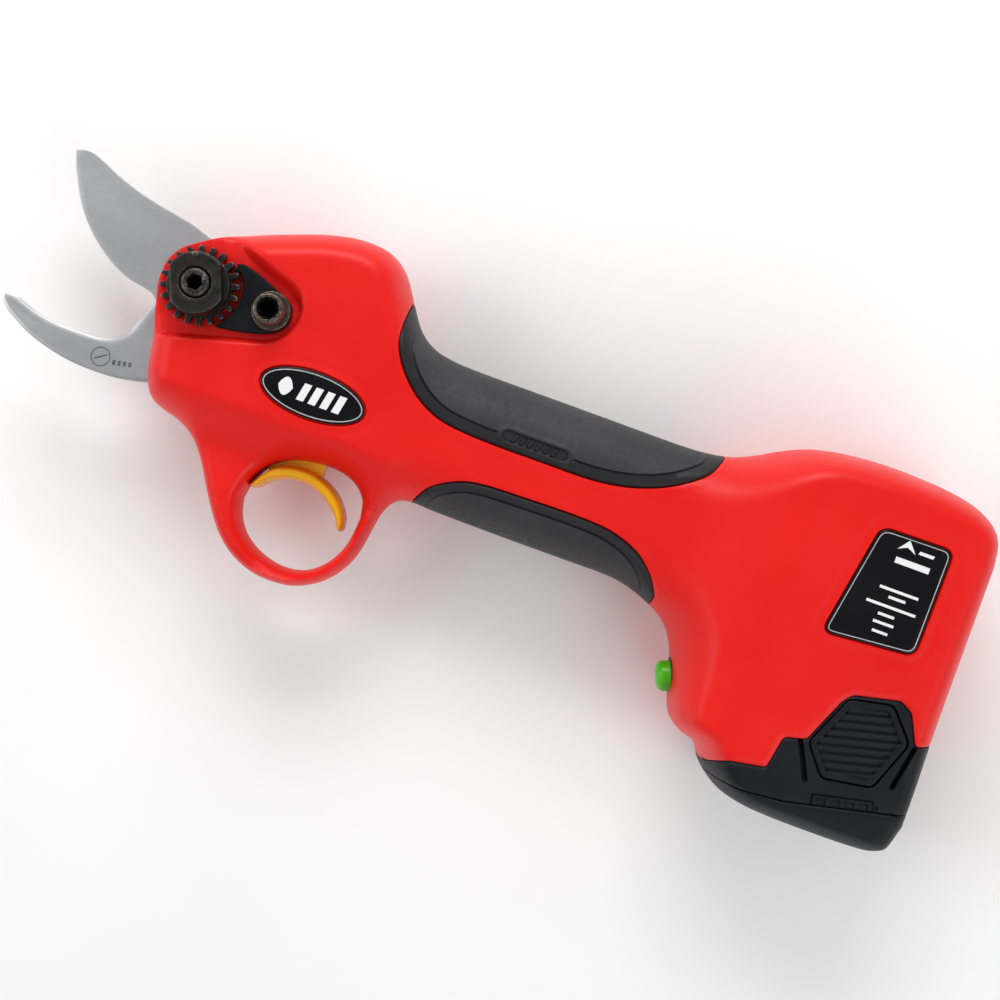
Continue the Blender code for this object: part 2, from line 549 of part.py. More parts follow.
teeth = []
for k in range(20):
    for offset, radius in ((-5.6, 9.9), (-2.6, 11.2), (2.6, 11.2), (5.6, 9.9)):
        a = math.radians(18 * k + 9 + offset)
        teeth.append((radius * math.cos(a), radius * math.sin(a)))
nut = prism("adjusting_nut", teeth, 15.4, 19.4, "black_oxide")
collar = turned("nut_collar", [(0, 16), (9.2, 16), (9.2, 21.2), (8.6, 21.6), (8.6, 24.4), (7.9, 25.2), (0, 25.2)])
flats = box("nut_flats", (-7, -20, 20.4), (7, 20, 40), turn=math.radians(27))
boolean(collar, box("flat_band", (-20, -20, 21.2), (20, 20, 50)))
head = turned("nut_head", [(0, 20.6), (8.6, 20.6), (8.6, 24.4), (7.9, 25.2), (0, 25.2)])
boolean(head, flats, "INTERSECT")
boolean(nut, collar, "UNION")
boolean(nut, head, "UNION")
boolean(nut, turned("nut_bore", rod(4.3, 10, 40)))

plate_outer = smooth([(7.6, 9.6), (9.4, 9.9), (12.4, 8.8), (16, 7.4), (20, 5.8), (23, 4.3), (25, 2.4), (25.4, -0.4),
                      (24.4, -3), (22, -5.2), (17.1, -7.1), (12.4, -8.1), (9.2, -8.3)], 2)
pawl = [(11.7 * math.cos(math.radians(a)), 11.7 * math.sin(math.radians(a))) for a in (-40, -28, -14, 0, 14, 28, 33)]
tooth = [(10.35 * math.cos(math.radians(a)), 10.35 * math.sin(math.radians(a))) for a in (37.2, 39.4)]
pawl += tooth + [(11.7 * math.cos(math.radians(a)), 11.7 * math.sin(math.radians(a))) for a in (44, 49)]
prism("lock_plate", [*plate_outer, *pawl], 15.4, 17.6, "black_oxide", holes=[circle(2.7, (20.8, 0.1), 20)])
turned("lock_washer", tube(2.7, 5.4, 17.9, 18.7), "black_oxide", (20.8, 0.1, 0))
lock = turned("lock_screw", [(0, 9), (2.4, 9), (2.4, 19), (4.5, 19), (4.5, 24.2), (3.6, 25.2), (0, 25.2)],
              "black_oxide", (20.8, 0.1, 0))
hexagon = [(20.8 + 2.8 * math.cos(a), 0.1 + 2.8 * math.sin(a)) for a in np.arange(6) * math.pi / 3]
boolean(lock, prism("lock_socket", hexagon, 22.2, 30))
for number, (x, y) in enumerate(DOWELS, 1):
    turned(f"blade_dowel_{number}", rod(2, 0.6, 10), "bright_steel", (x, y, 0), segments=16)

# ---- drive --------------------------------------------------------------------------------
SCREW_AT = (40, AXIS_Y, 0)
yoke = box("yoke_nut", (26, AXIS_Y - 7.5, -8.8), (36, AXIS_Y + 6.9, 7), "brass", SCREW_AT, bevel=0.8)
arm = box("yoke_arm", (-7.6, AXIS_Y - 6, -8.8), (28, AXIS_Y + 6.7, -4.9))
boolean(yoke, arm, "UNION")
boolean(yoke, box("yoke_slot", (pin_at[0] - 2.95, -18, -12), (pin_at[0] + 3.05, 0, 0)))
boolean(yoke, turned("yoke_bore", rod(4.5, -30, 30), at=SCREW_AT, axis="X"))
thread = [(0, -15), (3.2, -15)]
for k in range(8):
    thread += [(3.2, -13.6 + 3 * k), (4, -13 + 3 * k), (4, -12 + 3 * k), (3.2, -11.4 + 3 * k)]
thread += [(3.2, 19.5), (10.5, 19.5), (10.5, 22.5), (0, 22.5)]
turned("lead_screw", thread, "bright_steel", SCREW_AT, "X", segments=14)
turned("screw_bearing", tube(3.6, 8, 51, 56), "bright_steel", (0, AXIS_Y, 0), "X")
turned("gearbox_case", [(4.2, 57), (13, 57), (13, 85), (3.2, 85), (3.2, 83), (11.6, 83), (11.6, 59), (4.2, 59)],
       "bright_steel", (0, AXIS_Y, 0), "X")
for number in range(3):
    a = math.radians(90 + 120 * number)
    turned(f"planet_gear_{number + 1}", tube(1.2, 3.6, -2.8, 4), "bright_steel",
           (66, AXIS_Y + 7.2 * math.cos(a), 7.2 * math.sin(a)), "X", segments=18)
turned("motor_rotor", [(0, -44), (2.9, -44), (2.9, -37), (1.5, -37), (1.5, -20), (8.6, -20), (8.6, 16), (1.5, 16),
       (1.5, 23.5), (0, 23.5)], "bright_steel", (109, AXIS_Y, 0), "X", segments=20)
turned("motor_can", [(2.2, 86), (13, 86), (13, 134), (2.2, 134), (2.2, 131.4), (11.6, 131.4), (11.6, 88), (2.2, 88)],
       "bright_steel", (0, AXIS_Y, 0), "X")

# ---- trigger and switch -------------------------------------------------------------------
band = smooth([(29.6, -47), (33.6, -40.8), (38.5, -38.3), (44.2, -37.6), (49.2, -38.8), (53.2, -41), (56.2, -44),
               (58.1, -47.4), (58.4, -50.6), (56.9, -50.8), (55.5, -48.4), (52.8, -45.6), (48.8, -42.9), (44, -41.6),
               (39.4, -42), (35, -44), (31.6, -47.3)], 3, closed=True)
trigger = prism("trigger", band, -8, 8, "amber_plastic", at=TRIGGER_AT, bevel=1.1)
web = smooth([(33.6, -42.6), (31.4, -36), (31.6, -31), (34, -29.1), (37.4, -30.4), (42, -31), (45.6, -31.2),
              (47.6, -33.6), (47.8, -37), (47.6, -41), (44, -40.6), (38, -41)], 3, closed=True)
boolean(trigger, prism("web", web, -2.9, 2.9), "UNION")
boolean(trigger, turned("trigger_bore", rod(1.8, -12, 12), at=TRIGGER_AT))
turned("trigger_pin", rod(1.5, -6.5, 6.5), "bright_steel", TRIGGER_AT, segments=16)
box("trigger_magnet", (41.6, -30.6, -2), (45.6, -29.2, 2), "magnet", TRIGGER_AT)
box("sensor_board", (36, -26.6, -6), (53, -25.4, 6), "board_green")
spring = [(38.8 + 1.6 * math.cos(t), -29.2 + 2.4 * t / (6 * math.pi), 1.6 * math.sin(t))
          for t in np.linspace(0, 6 * math.pi, 25)]
wire("trigger_spring", spring, 0.25, "bright_steel")
c, s = math.cos(BUTTON_AIM), math.sin(BUTTON_AIM)
turned("power_button", [(0, -4), (3.2, -4), (3.2, -0.6), (4.4, -0.6), (4.4, 2.7), (3.9, 3.7), (2.6, 4.2), (0, 4.4)],
       "green_plastic", BUTTON_AT, "AIM", BUTTON_AIM)
turned("button_bezel", [(4.7, -2.4), (5.5, -2.4), (5.5, 1.0), (5.3, 1.3), (4.7, 1.3)],
       "dark_plastic", BUTTON_AT, "AIM", BUTTON_AIM)
box("switch_body", (167.4, -61, -5), (172.8, -50, 5), "dark_plastic")
box("control_board", (163.4, -44, -15), (165, -8, 15), "board_green")
turned("capacitor", rod(5, 140, 158), "dark_plastic", (0, -20.4, 0), "X", segments=20)
wire("wire_motor_red", [(135.6, -9, 6), (142, -12, 7), (152, -13, 6), (162.8, -14, 5)], 0.9, "wire_red")
wire("wire_motor_black", [(135.6, -9, -6), (142, -12, -7), (152, -13, -6), (162.8, -14, -5)], 0.9,
     "wire_black")
wire("wire_sensor", [(53.8, -26, 0), (54.4, -29.4, 0), (57, -30.2, 0), (100, -30.2, 0), (139, -30.2, 0),
                     (145, -26.8, 0), (156, -26.6, 0), (162.8, -31, 0)], 0.6, "wire_black")

# ---- battery ------------------------------------------------------------------------------
BU = np.array([-math.sin(TILT), math.cos(TILT), 0])  # up the battery
BV = np.array([math.cos(TILT), math.sin(TILT), 0])   # across it, toward the rear


def tower(name, low, high, finish_name=None, bevel=0.0):
    """A box in the battery's own leaning frame: across, up, side."""
    base = BATTERY_AT
    return box(name, base + low, base + high, finish_name, tuple(base) if finish_name else (0, 0, 0), TILT, base, bevel)


below = [*CUT_LINE, (245, -110), (150, -110)]
case = body("battery_case", "battery_black")
boolean(case, prism("case_top", shrunk(below, GAP), -40, 40), "INTERSECT")
seam_up = [*SEAM_LINE, (245, 60), (160, 60)]
boolean(case, prism("case_low", shrunk(seam_up, GAP / 2), -40, 40), "INTERSECT")
boolean(case, tower("case_tower", (-20.6, 8, -20.6), (20.6, 74, 20.6), bevel=2.0), "UNION")
boolean(case, tower("cell_well", (-18.9, -20, -18.9), (18.9, 71.5, 18.9), bevel=1.0))
TAB = rounded([(204.2, -45.4), (216, -43), (223.4, -51.4), (218, -65.6), (204.2, -67.8), (197.9, -59.8)], 1.6)
for side, sign in (("left", 1), ("right", -1)):
    z = sorted((sign * 21, sign * 40))
    boolean(case, prism(f"tab_well_{side}", shrunk(TAB, -0.4), *z))
    z = sorted((sign * 23.4, sign * 25.9))
    tab = prism(f"battery_tab_{side}", TAB, *z, "battery_black", at=(210.5, -55.5, 0), bevel=0.5)
base = body("battery_base", "battery_black")
boolean(base, prism("base_top", shrunk([*SEAM_LINE, (245, -110), (160, -110)], GAP / 2), -40, 40), "INTERSECT")
for number, (a, b) in enumerate(((-1, -1), (-1, 1), (1, -1), (1, 1)), 1):
    low = BATTERY_AT + BV * (a * CELL_PITCH / 2) + BU * 5.8 + np.array([0, 0, b * CELL_PITCH / 2])
    turned(f"battery_cell_{number}", [(0, 0), (CELL_R - 0.4, 0), (CELL_R, 0.5), (CELL_R, CELL_L - 1.2),
           (CELL_R - 0.6, CELL_L - 0.6), (3.2, CELL_L - 0.6), (3.2, CELL_L), (0, CELL_L)],
           "cell_wrap", tuple(low), "AIM", math.pi / 2 + TILT, segments=24)
low = BATTERY_AT + BV * -9 + BU * 75
tower("terminal_block", (-12, 75, -14), (12, 83, 14), "dark_plastic", bevel=0.8)
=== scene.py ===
"""Looks of the battery electric pruner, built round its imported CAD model.

Every shape is drawn in the tool's own frame in millimetres: blade pivot at the origin, +X along the
handle to the battery, +Y the top of the tool as it is held, +Z toward its left side.
"""
import json
from math import atan2, cos, pi, radians, sin

import bmesh
import bpy
import numpy as np
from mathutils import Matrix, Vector
from mathutils.geometry import delaunay_2d_cdt


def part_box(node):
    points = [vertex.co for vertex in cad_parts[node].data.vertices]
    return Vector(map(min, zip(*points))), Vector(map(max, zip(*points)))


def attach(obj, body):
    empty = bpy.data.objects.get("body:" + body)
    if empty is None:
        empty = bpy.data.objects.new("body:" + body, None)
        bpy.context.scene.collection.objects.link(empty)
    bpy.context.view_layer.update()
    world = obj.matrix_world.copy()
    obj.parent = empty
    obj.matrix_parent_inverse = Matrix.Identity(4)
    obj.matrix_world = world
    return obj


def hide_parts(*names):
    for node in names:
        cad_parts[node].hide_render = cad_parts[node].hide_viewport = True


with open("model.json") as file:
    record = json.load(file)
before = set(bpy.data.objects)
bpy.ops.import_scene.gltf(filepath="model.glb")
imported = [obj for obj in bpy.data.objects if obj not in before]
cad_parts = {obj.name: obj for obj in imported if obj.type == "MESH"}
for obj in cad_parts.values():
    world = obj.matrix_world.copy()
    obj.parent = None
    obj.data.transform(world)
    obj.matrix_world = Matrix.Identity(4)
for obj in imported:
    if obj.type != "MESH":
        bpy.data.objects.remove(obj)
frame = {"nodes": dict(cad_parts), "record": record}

for name in ("Cube", "Light", "Camera"):
    if name in bpy.data.objects:
        bpy.data.objects.remove(bpy.data.objects[name], do_unlink=True)
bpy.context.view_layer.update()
MM = 0.001


def middle(node):
    low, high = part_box(node)
    return np.array((low + high) / 2) / MM


SHIFT = np.array([*middle("pivot_bolt")[:2], middle("trigger")[2]])  # tool frame to world, mm

# ---- the tool's outline and sizes, in mm ----
TOP = [(-13, 0), (-12.2, 4.6), (-9.6, 8.9), (-5.6, 12), (-1, 15), (4, 17.9), (10, 20.7), (18, 23.8),
    (26, 26.6), (34, 28.4), (41, 28.6), (46.4, 27.2), (51, 23.6), (55.3, 17.2), (60, 10.6), (65, 7),
    (71, 5.5), (80, 5), (100, 5), (120, 5), (140, 5), (149, 5.6), (156, 7.2), (162, 10), (168, 13.4),
    (175, 16.4), (184, 18.3), (195, 19.2), (206, 19.1), (215, 18.4), (222.6, 16.8), (228.6, 13.6),
    (232, 8.8), (233.2, 2)]
FRONT = [(-13, 0), (-12.6, -4), (-11.5, -8), (-10.8, -12), (-10.3, -16.5), (-9.5, -21.5)]
CORE = [*FRONT, (-8.5, -26.5), (-7, -31), (-3, -34.8), (3.7, -36.2), (14, -36.4), (26, -35.6), (38, -34.8),
    (50, -34.8), (62, -35.6), (74, -36.4)]
RING = [*FRONT, (-8.4, -26.5), (-7, -30.6), (-4.6, -33.9), (-1, -35.6), (4, -37), (8.8, -39.6),
    (13.4, -44.6), (19.2, -54), (25, -62.2), (31, -67.4), (38, -70.3), (44.5, -70.9), (50.5, -70.1),
    (56.3, -67.3), (60.7, -63.2), (63.7, -58.2), (65.2, -53.2), (66, -48), (66.9, -42.8), (68.6, -38.9),
    (71.1, -36.9), (74.6, -36.3)]
REAR = [(82, -36.6), (100, -36.8), (120, -36.8), (133, -36.8), (140, -37.9), (146, -40), (151, -42.5),
    (155, -46.3), (157.8, -51.5), (159.9, -57.5), (161.6, -63.6), (163.7, -68.2), (167.4, -70.9),
    (171.6, -72.2), (174.1, -74.3), (175.8, -77.2), (179, -80.2), (183.6, -82.8), (191, -84.4),
    (200, -84.9), (212, -85), (222, -84.8), (227, -84.1), (230.8, -81.6), (233.2, -74)]
HOLE_LOW = [(28.4, -51.5), (29.6, -56.2), (32, -60), (36, -63.2), (41.4, -65.4), (47.2, -66), (52.6, -64.6),
    (57, -61), (60, -56.2), (61.4, -51), (61.9, -45.5)]
HOLE_HIGH = [(28.4, -51.5), (29.6, -45.9), (33.2, -40.2), (38.8, -36.6), (45, -35.2), (51.5, -35),
    (57, -36.8), (60.6, -40.4), (61.9, -45.5)]
CUT_LINE = [(168, -77.6), (174.2, -76.8), (176.6, -73.7), (179.4, -71.9), (189.3, -70.2), (191, -60.9),
    (197, -59.3), (202.6, -46.3), (204.8, -43.9), (217.6, -41), (221.4, -43.1), (225.3, -51.3),
    (245, -46.8)]
SEAM_LINE = [(160, -78.4), (186, -78.4), (197, -77.3), (224, -71.2), (245, -66.4)]
UPPER_GRIP = [(55.4, 30), (55.6, 10), (56.5, 4), (59.6, -1.8), (65, -7.4), (71, -11), (78, -12.9),
    (90, -13.6), (105, -13.6), (118, -13.5), (128, -12.2), (137, -9.3), (144, -5.4), (149.5, -0.8),
    (152.6, 5), (153, 30)]
LOWER_GRIP = [(74, -50), (74.3, -35.6), (77.6, -30.6), (83.8, -26.6), (91, -24.7), (105, -24.1),
    (119, -23.9), (129, -24.6), (137.5, -27.5), (143.5, -32.4), (147, -37.4), (147.5, -50)]
RECESS = [(-22, 15.8), (1, 15.8), (4.7, 15.2), (10.4, 11.9), (16.9, 9.3), (23.8, 7), (27.3, 4.6), (28.1, 1),
    (26.6, -4.4), (22, -7.9), (15.5, -10), (5, -12.8), (-4.6, -15.4), (-22, -18)]
HOOK_EDGE = [(-53.8, -20), (-51.1, -19.7), (-48.1, -20.7), (-43.7, -22.1), (-39.2, -22.9), (-35, -23.2),
    (-30.5, -23.2), (-25.5, -23), (-21.9, -22.2), (-19.5, -20.8), (-17.3, -18.4), (-16.2, -15.8),
    (-15.2, -13), (-14.2, -10.2), (-13.4, -7.4)]
HOOK_BACK = [(-6.5, -29.6), (-12.2, -31), (-17.7, -31.9), (-22.9, -32.1), (-28.2, -31.9), (-32.9, -31.3),
    (-37.1, -30.4), (-40.7, -29.4), (-44.6, -27.9), (-48.1, -26.1), (-51.8, -24), (-53.6, -22.2)]
TANG = [(-10.9, -5.1), (-11.3, -4), (-12, 0), (-10.4, 6), (-6, 10.4), (0, 12), (6, 10.4), (11.3, 4.1),
    (17.5, 1), (21.5, -6), (22.8, -14), (22, -24), (18.5, -28.8), (10, -30.2), (2, -29.8)]
BLADE_BACK = [(-50.1, 25.4), (-47.3, 26.3), (-44.4, 26), (-40.5, 24.4), (-36, 22.5), (-29.7, 20.4),
    (-23.6, 18.9), (-17.6, 17.8), (-11.7, 16.7), (-5.3, 14.7), (0, 13.9), (6.5, 12.2), (11, 8.6),
    (13.4, 3.6)]
BLADE_TAIL = [(13.6, -1.6), (11.4, -7.4), (7, -12), (3.6, -15.6), (1.6, -18.6), (-2.6, -20), (-6.6, -18.4),
    (-8, -14.6), (-10.4, -10.6), (-13.6, -7.6)]
BLADE_EDGE = [(-16, -5.7), (-18.4, -5), (-22.8, -4.2), (-26.8, -2.8), (-31.1, -0.5), (-35.9, 3), (-40.1, 7),
    (-43.3, 11), (-45.9, 15.3), (-48.4, 20.3), (-49.6, 23.4)]
TRIGGER_BAND = [(29.6, -47), (33.6, -40.8), (38.5, -38.3), (44.2, -37.6), (49.2, -38.8), (53.2, -41),
    (56.2, -44), (58.1, -47.4), (58.4, -50.6), (56.9, -50.8), (55.5, -48.4), (52.8, -45.6), (48.8, -42.9),
    (44, -41.6), (39.4, -42), (35, -44), (31.6, -47.3)]
TRIGGER_WEB = [(33.6, -42.6), (31.4, -36), (31.6, -31), (34, -29.1), (37.4, -30.4), (42, -31),
    (45.6, -31.2), (47.6, -33.6), (47.8, -37), (47.6, -41), (44, -40.6), (38, -41)]
TAB = [(204.2, -45.4), (216, -43), (223.4, -51.4), (218, -65.6), (204.2, -67.8), (197.9, -59.8)]
PLATE = [(196.6, 1.2), (217, 1.6), (216.6, -28.4), (191, -30.6)]
LOCK_PLATE = [(7.6, 9.2), (9.6, 9.6), (12.4, 9), (16, 7.8), (20, 6.2), (23.4, 4.9), (25.6, 3), (26.3, 0.2),
    (25.9, -2.2), (24, -4.6), (20.5, -6.5), (15.2, -8), (11, -8.7), (7.6, -9.2)]
SCREWS = [(15.2, -36.8, 7.5), (42, 19.5, 13), (63.4, -35.2, 7.5), (149, -5.8, 10.6), (152.6, -32.7, 12.1),
    (181, 6.2, 18.3), (219.8, 4.9, 17.6)]  # x, y and depth of the head's seat
BADGE_AT, BADGE_SIZE = (39.5, -17.8), (14.9, 6.4)
LOCK_AT, TRIGGER_AT = (20.8, 0.1), (34.0, -31.5)
ETCHED_AT = (-22.3, -27.6)
BATTERY_AT, TILT = np.array([205.0, -80.0]), radians(10)  # middle of its base, and how far it leans
BUTTON_AT, BUTTON_AIM = np.array([160.2, -57.5, 0]), atan2(-0.348, -0.937)
SEAM, GAP = 0.15, 0.3  # half the gap between the halves, and the gap round a fitted piece
RIM_Z = 0.6  # height of the outer surface at its outline
GRIP_DEPTH = 2.0
WALL_HEAD, WALL_GRIP, WALL_REAR = 2.4, 3.7, 2.6
BLADE_ROOM, BAY = 5.2, 21.2  # half the room for the blades and half the battery bay's width
BOLT_HOLE, SCREW_POCKET = 4.3, 3.55  # radii
HEAD_POCKET, HEAD_SEAT = 9.5, 14.9  # radius and depth of the bolt head's pocket
BADGE_SEAT, LOCK_SEAT = 18.25, 15.0
RIM_STEPS = (0.05, 0.16, 0.36, 0.64, 1.0, 1.45, 2.0, 2.7)  # insets at which a rounded rim is followed
FAR = 4.0  # distances from an outline beyond this are not worked out


# ---- curves in the plane ----
def smooth(points, per=5, closed=False):
    """A curve through the points (Catmull-Rom)."""
    p = np.array(points, float)
    ends = [p[-1], *p, p[0], p[1]] if closed else [2 * p[0] - p[1], *p, 2 * p[-1] - p[-2]]
    out = []
    for i in range(len(ends) - 3):
        a, b, c, d = ends[i:i + 4]
        for t in np.arange(per) / per:
            out.append(0.5 * (2 * b + (c - a) * t + (2 * a - 5 * b + 4 * c - d) * t**2
                              + (3 * b - a - 3 * c + d) * t**3))
    return np.array(out if closed else [*out, p[-1]])


def stretches(line, closed=True):
    """The two ends of each stretch of the line."""
    return zip(line, np.roll(line, -1, axis=0)) if closed else zip(line, line[1:])


def spread(line, step, closed=True):
    """The line resampled so that its points lie about `step` apart, its corners kept."""
    p = np.array(line, float)
    out = []
    for a, b in stretches(p, closed):
        count = max(1, round(np.linalg.norm(b - a) / step))
        out += [a + (b - a) * i / count for i in range(count)]
    return np.array(out if closed else [*out, p[-1]])


def tidy_loop(loop):
    """The outline without repeated points."""
    p = np.array(loop, float)
    return p[np.linalg.norm(p - np.roll(p, 1, axis=0), axis=1) > 0.02]


def offset(loop, amount):
    """The closed outline moved inward."""
    p = tidy_loop(loop)
    run = np.roll(p, -1, axis=0) - p
    run /= np.linalg.norm(run, axis=1)[:, None]
    side = np.column_stack([-run[:, 1], run[:, 0]])
    miter = side + np.roll(side, 1, axis=0)
    miter /= np.maximum((miter**2).sum(1) / 2, 0.35)[:, None]
    area = (p[:, 0] * np.roll(p[:, 1], -1) - np.roll(p[:, 0], -1) * p[:, 1]).sum()
    return p + miter * amount * (1 if area > 0 else -1)


def rings(loop, insets, step=0.8):
    """Lines to follow at several insets of a closed outline, resampled unless the step is 0."""
    return [(spread(offset(loop, d), step) if step else offset(loop, d), True) for d in insets]


def rounded(corners, radius, count=7):
    """The outline with each corner replaced by a curve."""
    p, out = np.array(corners, float), []
    for before, corner, after in zip(np.roll(p, 1, axis=0), p, np.roll(p, -1, axis=0)):
        a, b = (corner + (end - corner) / np.linalg.norm(end - corner) * radius for end in (before, after))
        out += [(1 - t) ** 2 * a + 2 * t * (1 - t) * corner + t * t * b for t in np.linspace(0, 1, count)]
    return np.array(out)


def circle(radius, centre=(0, 0), count=48):
    t = np.linspace(0, 2 * pi, count, endpoint=False)
    return np.column_stack([centre[0] + radius * np.cos(t), centre[1] + radius * np.sin(t)])


def capsule(centre, length, height, count=10):
    t = np.linspace(-pi / 2, pi / 2, count)
    r = height / 2
    right = np.column_stack([length / 2 - r + r * np.cos(t), r * np.sin(t)])
    return np.vstack([right, -right]) + centre


def rect(low, high):
    return np.array([(low[0], low[1]), (high[0], low[1]), (high[0], high[1]), (low[0], high[1])], float)


def bar(x0, x1, y, height=0.75, lean=0.0):
    """A level bar between x0 and x1 whose ends lean."""
    h, shift = height / 2, lean * height / 2
    return np.array([(x0 - shift, y - h), (x1 - shift, y - h), (x1 + shift, y + h), (x0 + shift, y + h)])


def placed(loop, centre, turn):
    """The loop turned about the origin, then moved."""
    c, s = cos(turn), sin(turn)
    return np.array(loop) @ np.array([[c, s], [-s, c]]) + centre


# ---- heights and distances ----
def ramp(value, start, end):
    """0 before the start, 1 after the end, smooth between them."""
    t = np.clip((np.asarray(value, float) - start) / (end - start), 0, 1)
    return t * t * (3 - 2 * t)


def bulge(depth, power=2.1):
    """A rounded rise from 0 at depth 0 to 1 at depth 1."""
    s = 1 - np.clip(depth, 0, 1)
    return np.maximum(1 - s**power, 0) ** (1 / power)


def rolled(depth, width, drop):
    """How far a rounded edge falls: `drop` at the rim, 0 from `width` inward."""
    return drop * (1 - bulge(np.clip(depth, 0, width) / width, 2))


def flat(height):
    return lambda p: height + 0 * p[:, 0]


def distance(points, loops, closed=True):
    """Distance of each point from the nearest of the outlines."""
    best = np.full(len(points), 1e9)
    for loop in loops:
        for a, b in stretches(loop, closed):
            side = b - a
            away = points - a
            along = np.clip(away @ side / max(side @ side, 1e-12), 0, 1)
            best = np.minimum(best, ((away - along[:, None] * side) ** 2).sum(1))
    return np.sqrt(best)


def inside(points, loops):
    """Even-odd test against closed outlines."""
    x, y = points[:, 0], points[:, 1]
    found = np.zeros(len(points), bool)
    for loop in loops:
        for (x0, y0), (x1, y1) in stretches(loop):
            if y0 != y1:
                found ^= ((y0 > y) != (y1 > y)) & (x < x0 + (y - y0) * (x1 - x0) / (y1 - y0))
    return found


def reach(points, loop):
    """Signed distance from a closed outline, negative inside, worked out only near it."""
    points, loop = np.asarray(points, float), np.asarray(loop, float)
    out = np.full(len(points), FAR)
    near = ((points > loop.min(0) - FAR) & (points < loop.max(0) + FAR)).all(1)
    if near.any():
        d = distance(points[near], [loop])
        out[near] = np.where(inside(points[near], [loop]), -d, d)
    return out


def sunk(points, loop, start, end):
    """0 outside the outline and 1 inside it, rising between these two depths from it."""
    return ramp(-reach(points, loop), start, end)


def near_line(points, loop, start, end):
    """1 up to the first distance from the outline on either side, 0 from the second one."""
    return 1 - ramp(np.abs(reach(points, loop)), start, end)


# ---- one builder for every moulded or ground piece ----
def sheet(region, lines, step, keep=None, window=None):
    """Triangulates the region. Its outlines and the extra lines are followed exactly, and the rest is a fine
    grid, laid only in the window if there is one. `keep` picks faces by their centres."""
    points, edges = [], []
    lines = [*((loop, True) for loop in region), *lines]
    for line, closed in lines:
        start, count = len(points), len(line)
        points.extend(line)
        edges.extend((start + i, start + (i + 1) % count) for i in range(count if closed else count - 1))
    bounds = region[0] if window is None else window
    low, high = bounds.min(0) - 0.1, bounds.max(0) + 0.1
    xs, ys = np.arange(low[0], high[0], step), np.arange(low[1], high[1], step * 0.866)
    grid = np.array([(x + (j % 2) * step / 2, y) for j, y in enumerate(ys) for x in xs])
    grid = grid[inside(grid, region)]
    cell = step * 0.55
    followed = np.vstack([spread(line, cell, closed) for line, closed in lines])
    taken = {(i, j) for i, j in np.floor(followed / cell).astype(int)}
    free = [not any((i + di, j + dj) in taken for di in (-1, 0, 1) for dj in (-1, 0, 1))
            for i, j in np.floor(grid / cell).astype(int)]
    corners = [Vector(v) for v in np.vstack([points, grid[free]])]
    verts, _, faces, *_ = delaunay_2d_cdt(corners, edges, [], 0, 1e-5)
    verts, faces = np.array([tuple(v) for v in verts]), np.array([tuple(f) for f in faces])
    a, b, c = (verts[faces[:, i]] for i in range(3))
    area = (b[:, 0] - a[:, 0]) * (c[:, 1] - a[:, 1]) - (b[:, 1] - a[:, 1]) * (c[:, 0] - a[:, 0])
    faces = np.where(area[:, None] < 0, faces[:, ::-1], faces)
    centre = (a + b + c) / 3
    good = inside(centre, region) & (np.abs(area) > 1e-7)
    if keep is not None:
        good &= keep(centre)
    used, faces = np.unique(faces[good], return_inverse=True)
    return verts[used], faces.reshape(-1, 3)


def clipped(lines, loops, window=None):
    """Only the stretches of each line that lie inside the loops, and in the window if there is one."""
    out = []
    for line, closed in lines:
        line = np.asarray(line, float)
        ok = inside(line, loops)
        if window is not None:
            ok &= ((line > window.min(0)) & (line < window.max(0))).all(1)
        count, run = len(line), []
        for i in range(count + 1 if closed else count):
            if ok[i % count]:
                run.append(line[i % count])
            elif run:
                out.append(run)
                run = []
        if run:
            out.append(run)
    return [(np.array(run), False) for run in out if len(run) > 1]


def solid(name, plan, top, bottom, mirror=False):
    """A closed solid between two heights over the triangulated plan."""
    verts, faces = plan
    high = top(verts)
    low = np.minimum(bottom(verts), high - 0.05)
    count = len(verts)
    points = np.vstack([np.column_stack([verts, high]), np.column_stack([verts, low])])
    ends = np.concatenate([faces[:, [0, 1]], faces[:, [1, 2]], faces[:, [2, 0]]])
    keys = set(map(tuple, ends))
    border = np.array([(a, b) for a, b in ends if (b, a) not in keys])
    a, b = border[:, 0], border[:, 1]
    skirt = np.vstack([np.column_stack([b, a, a + count]), np.column_stack([b, a + count, b + count])])
    polygons = np.vstack([faces, faces[:, ::-1] + count, skirt])
    if mirror:
        points[:, 2] *= -1
        polygons = polygons[:, ::-1]
    return made(name, points, polygons)


def added(name, data):
    obj = bpy.data.objects.new(name, data)
    bpy.context.scene.collection.objects.link(obj)
    return obj


def smoothed(mesh, degrees):
    """Smooth shading except across edges sharper than that."""
    mesh.shade_smooth()
    mesh.set_sharp_from_angle(angle=radians(degrees))


def made(name, points, faces, sharp=42):
    """An object from tool-frame points in mm."""
    mesh = bpy.data.meshes.new(name)
    points = (np.asarray(points, float) + SHIFT) * MM
    mesh.from_pydata(points.tolist(), [], np.asarray(faces).tolist())
    mesh.update()
    smoothed(mesh, sharp)
    return added(name, mesh)


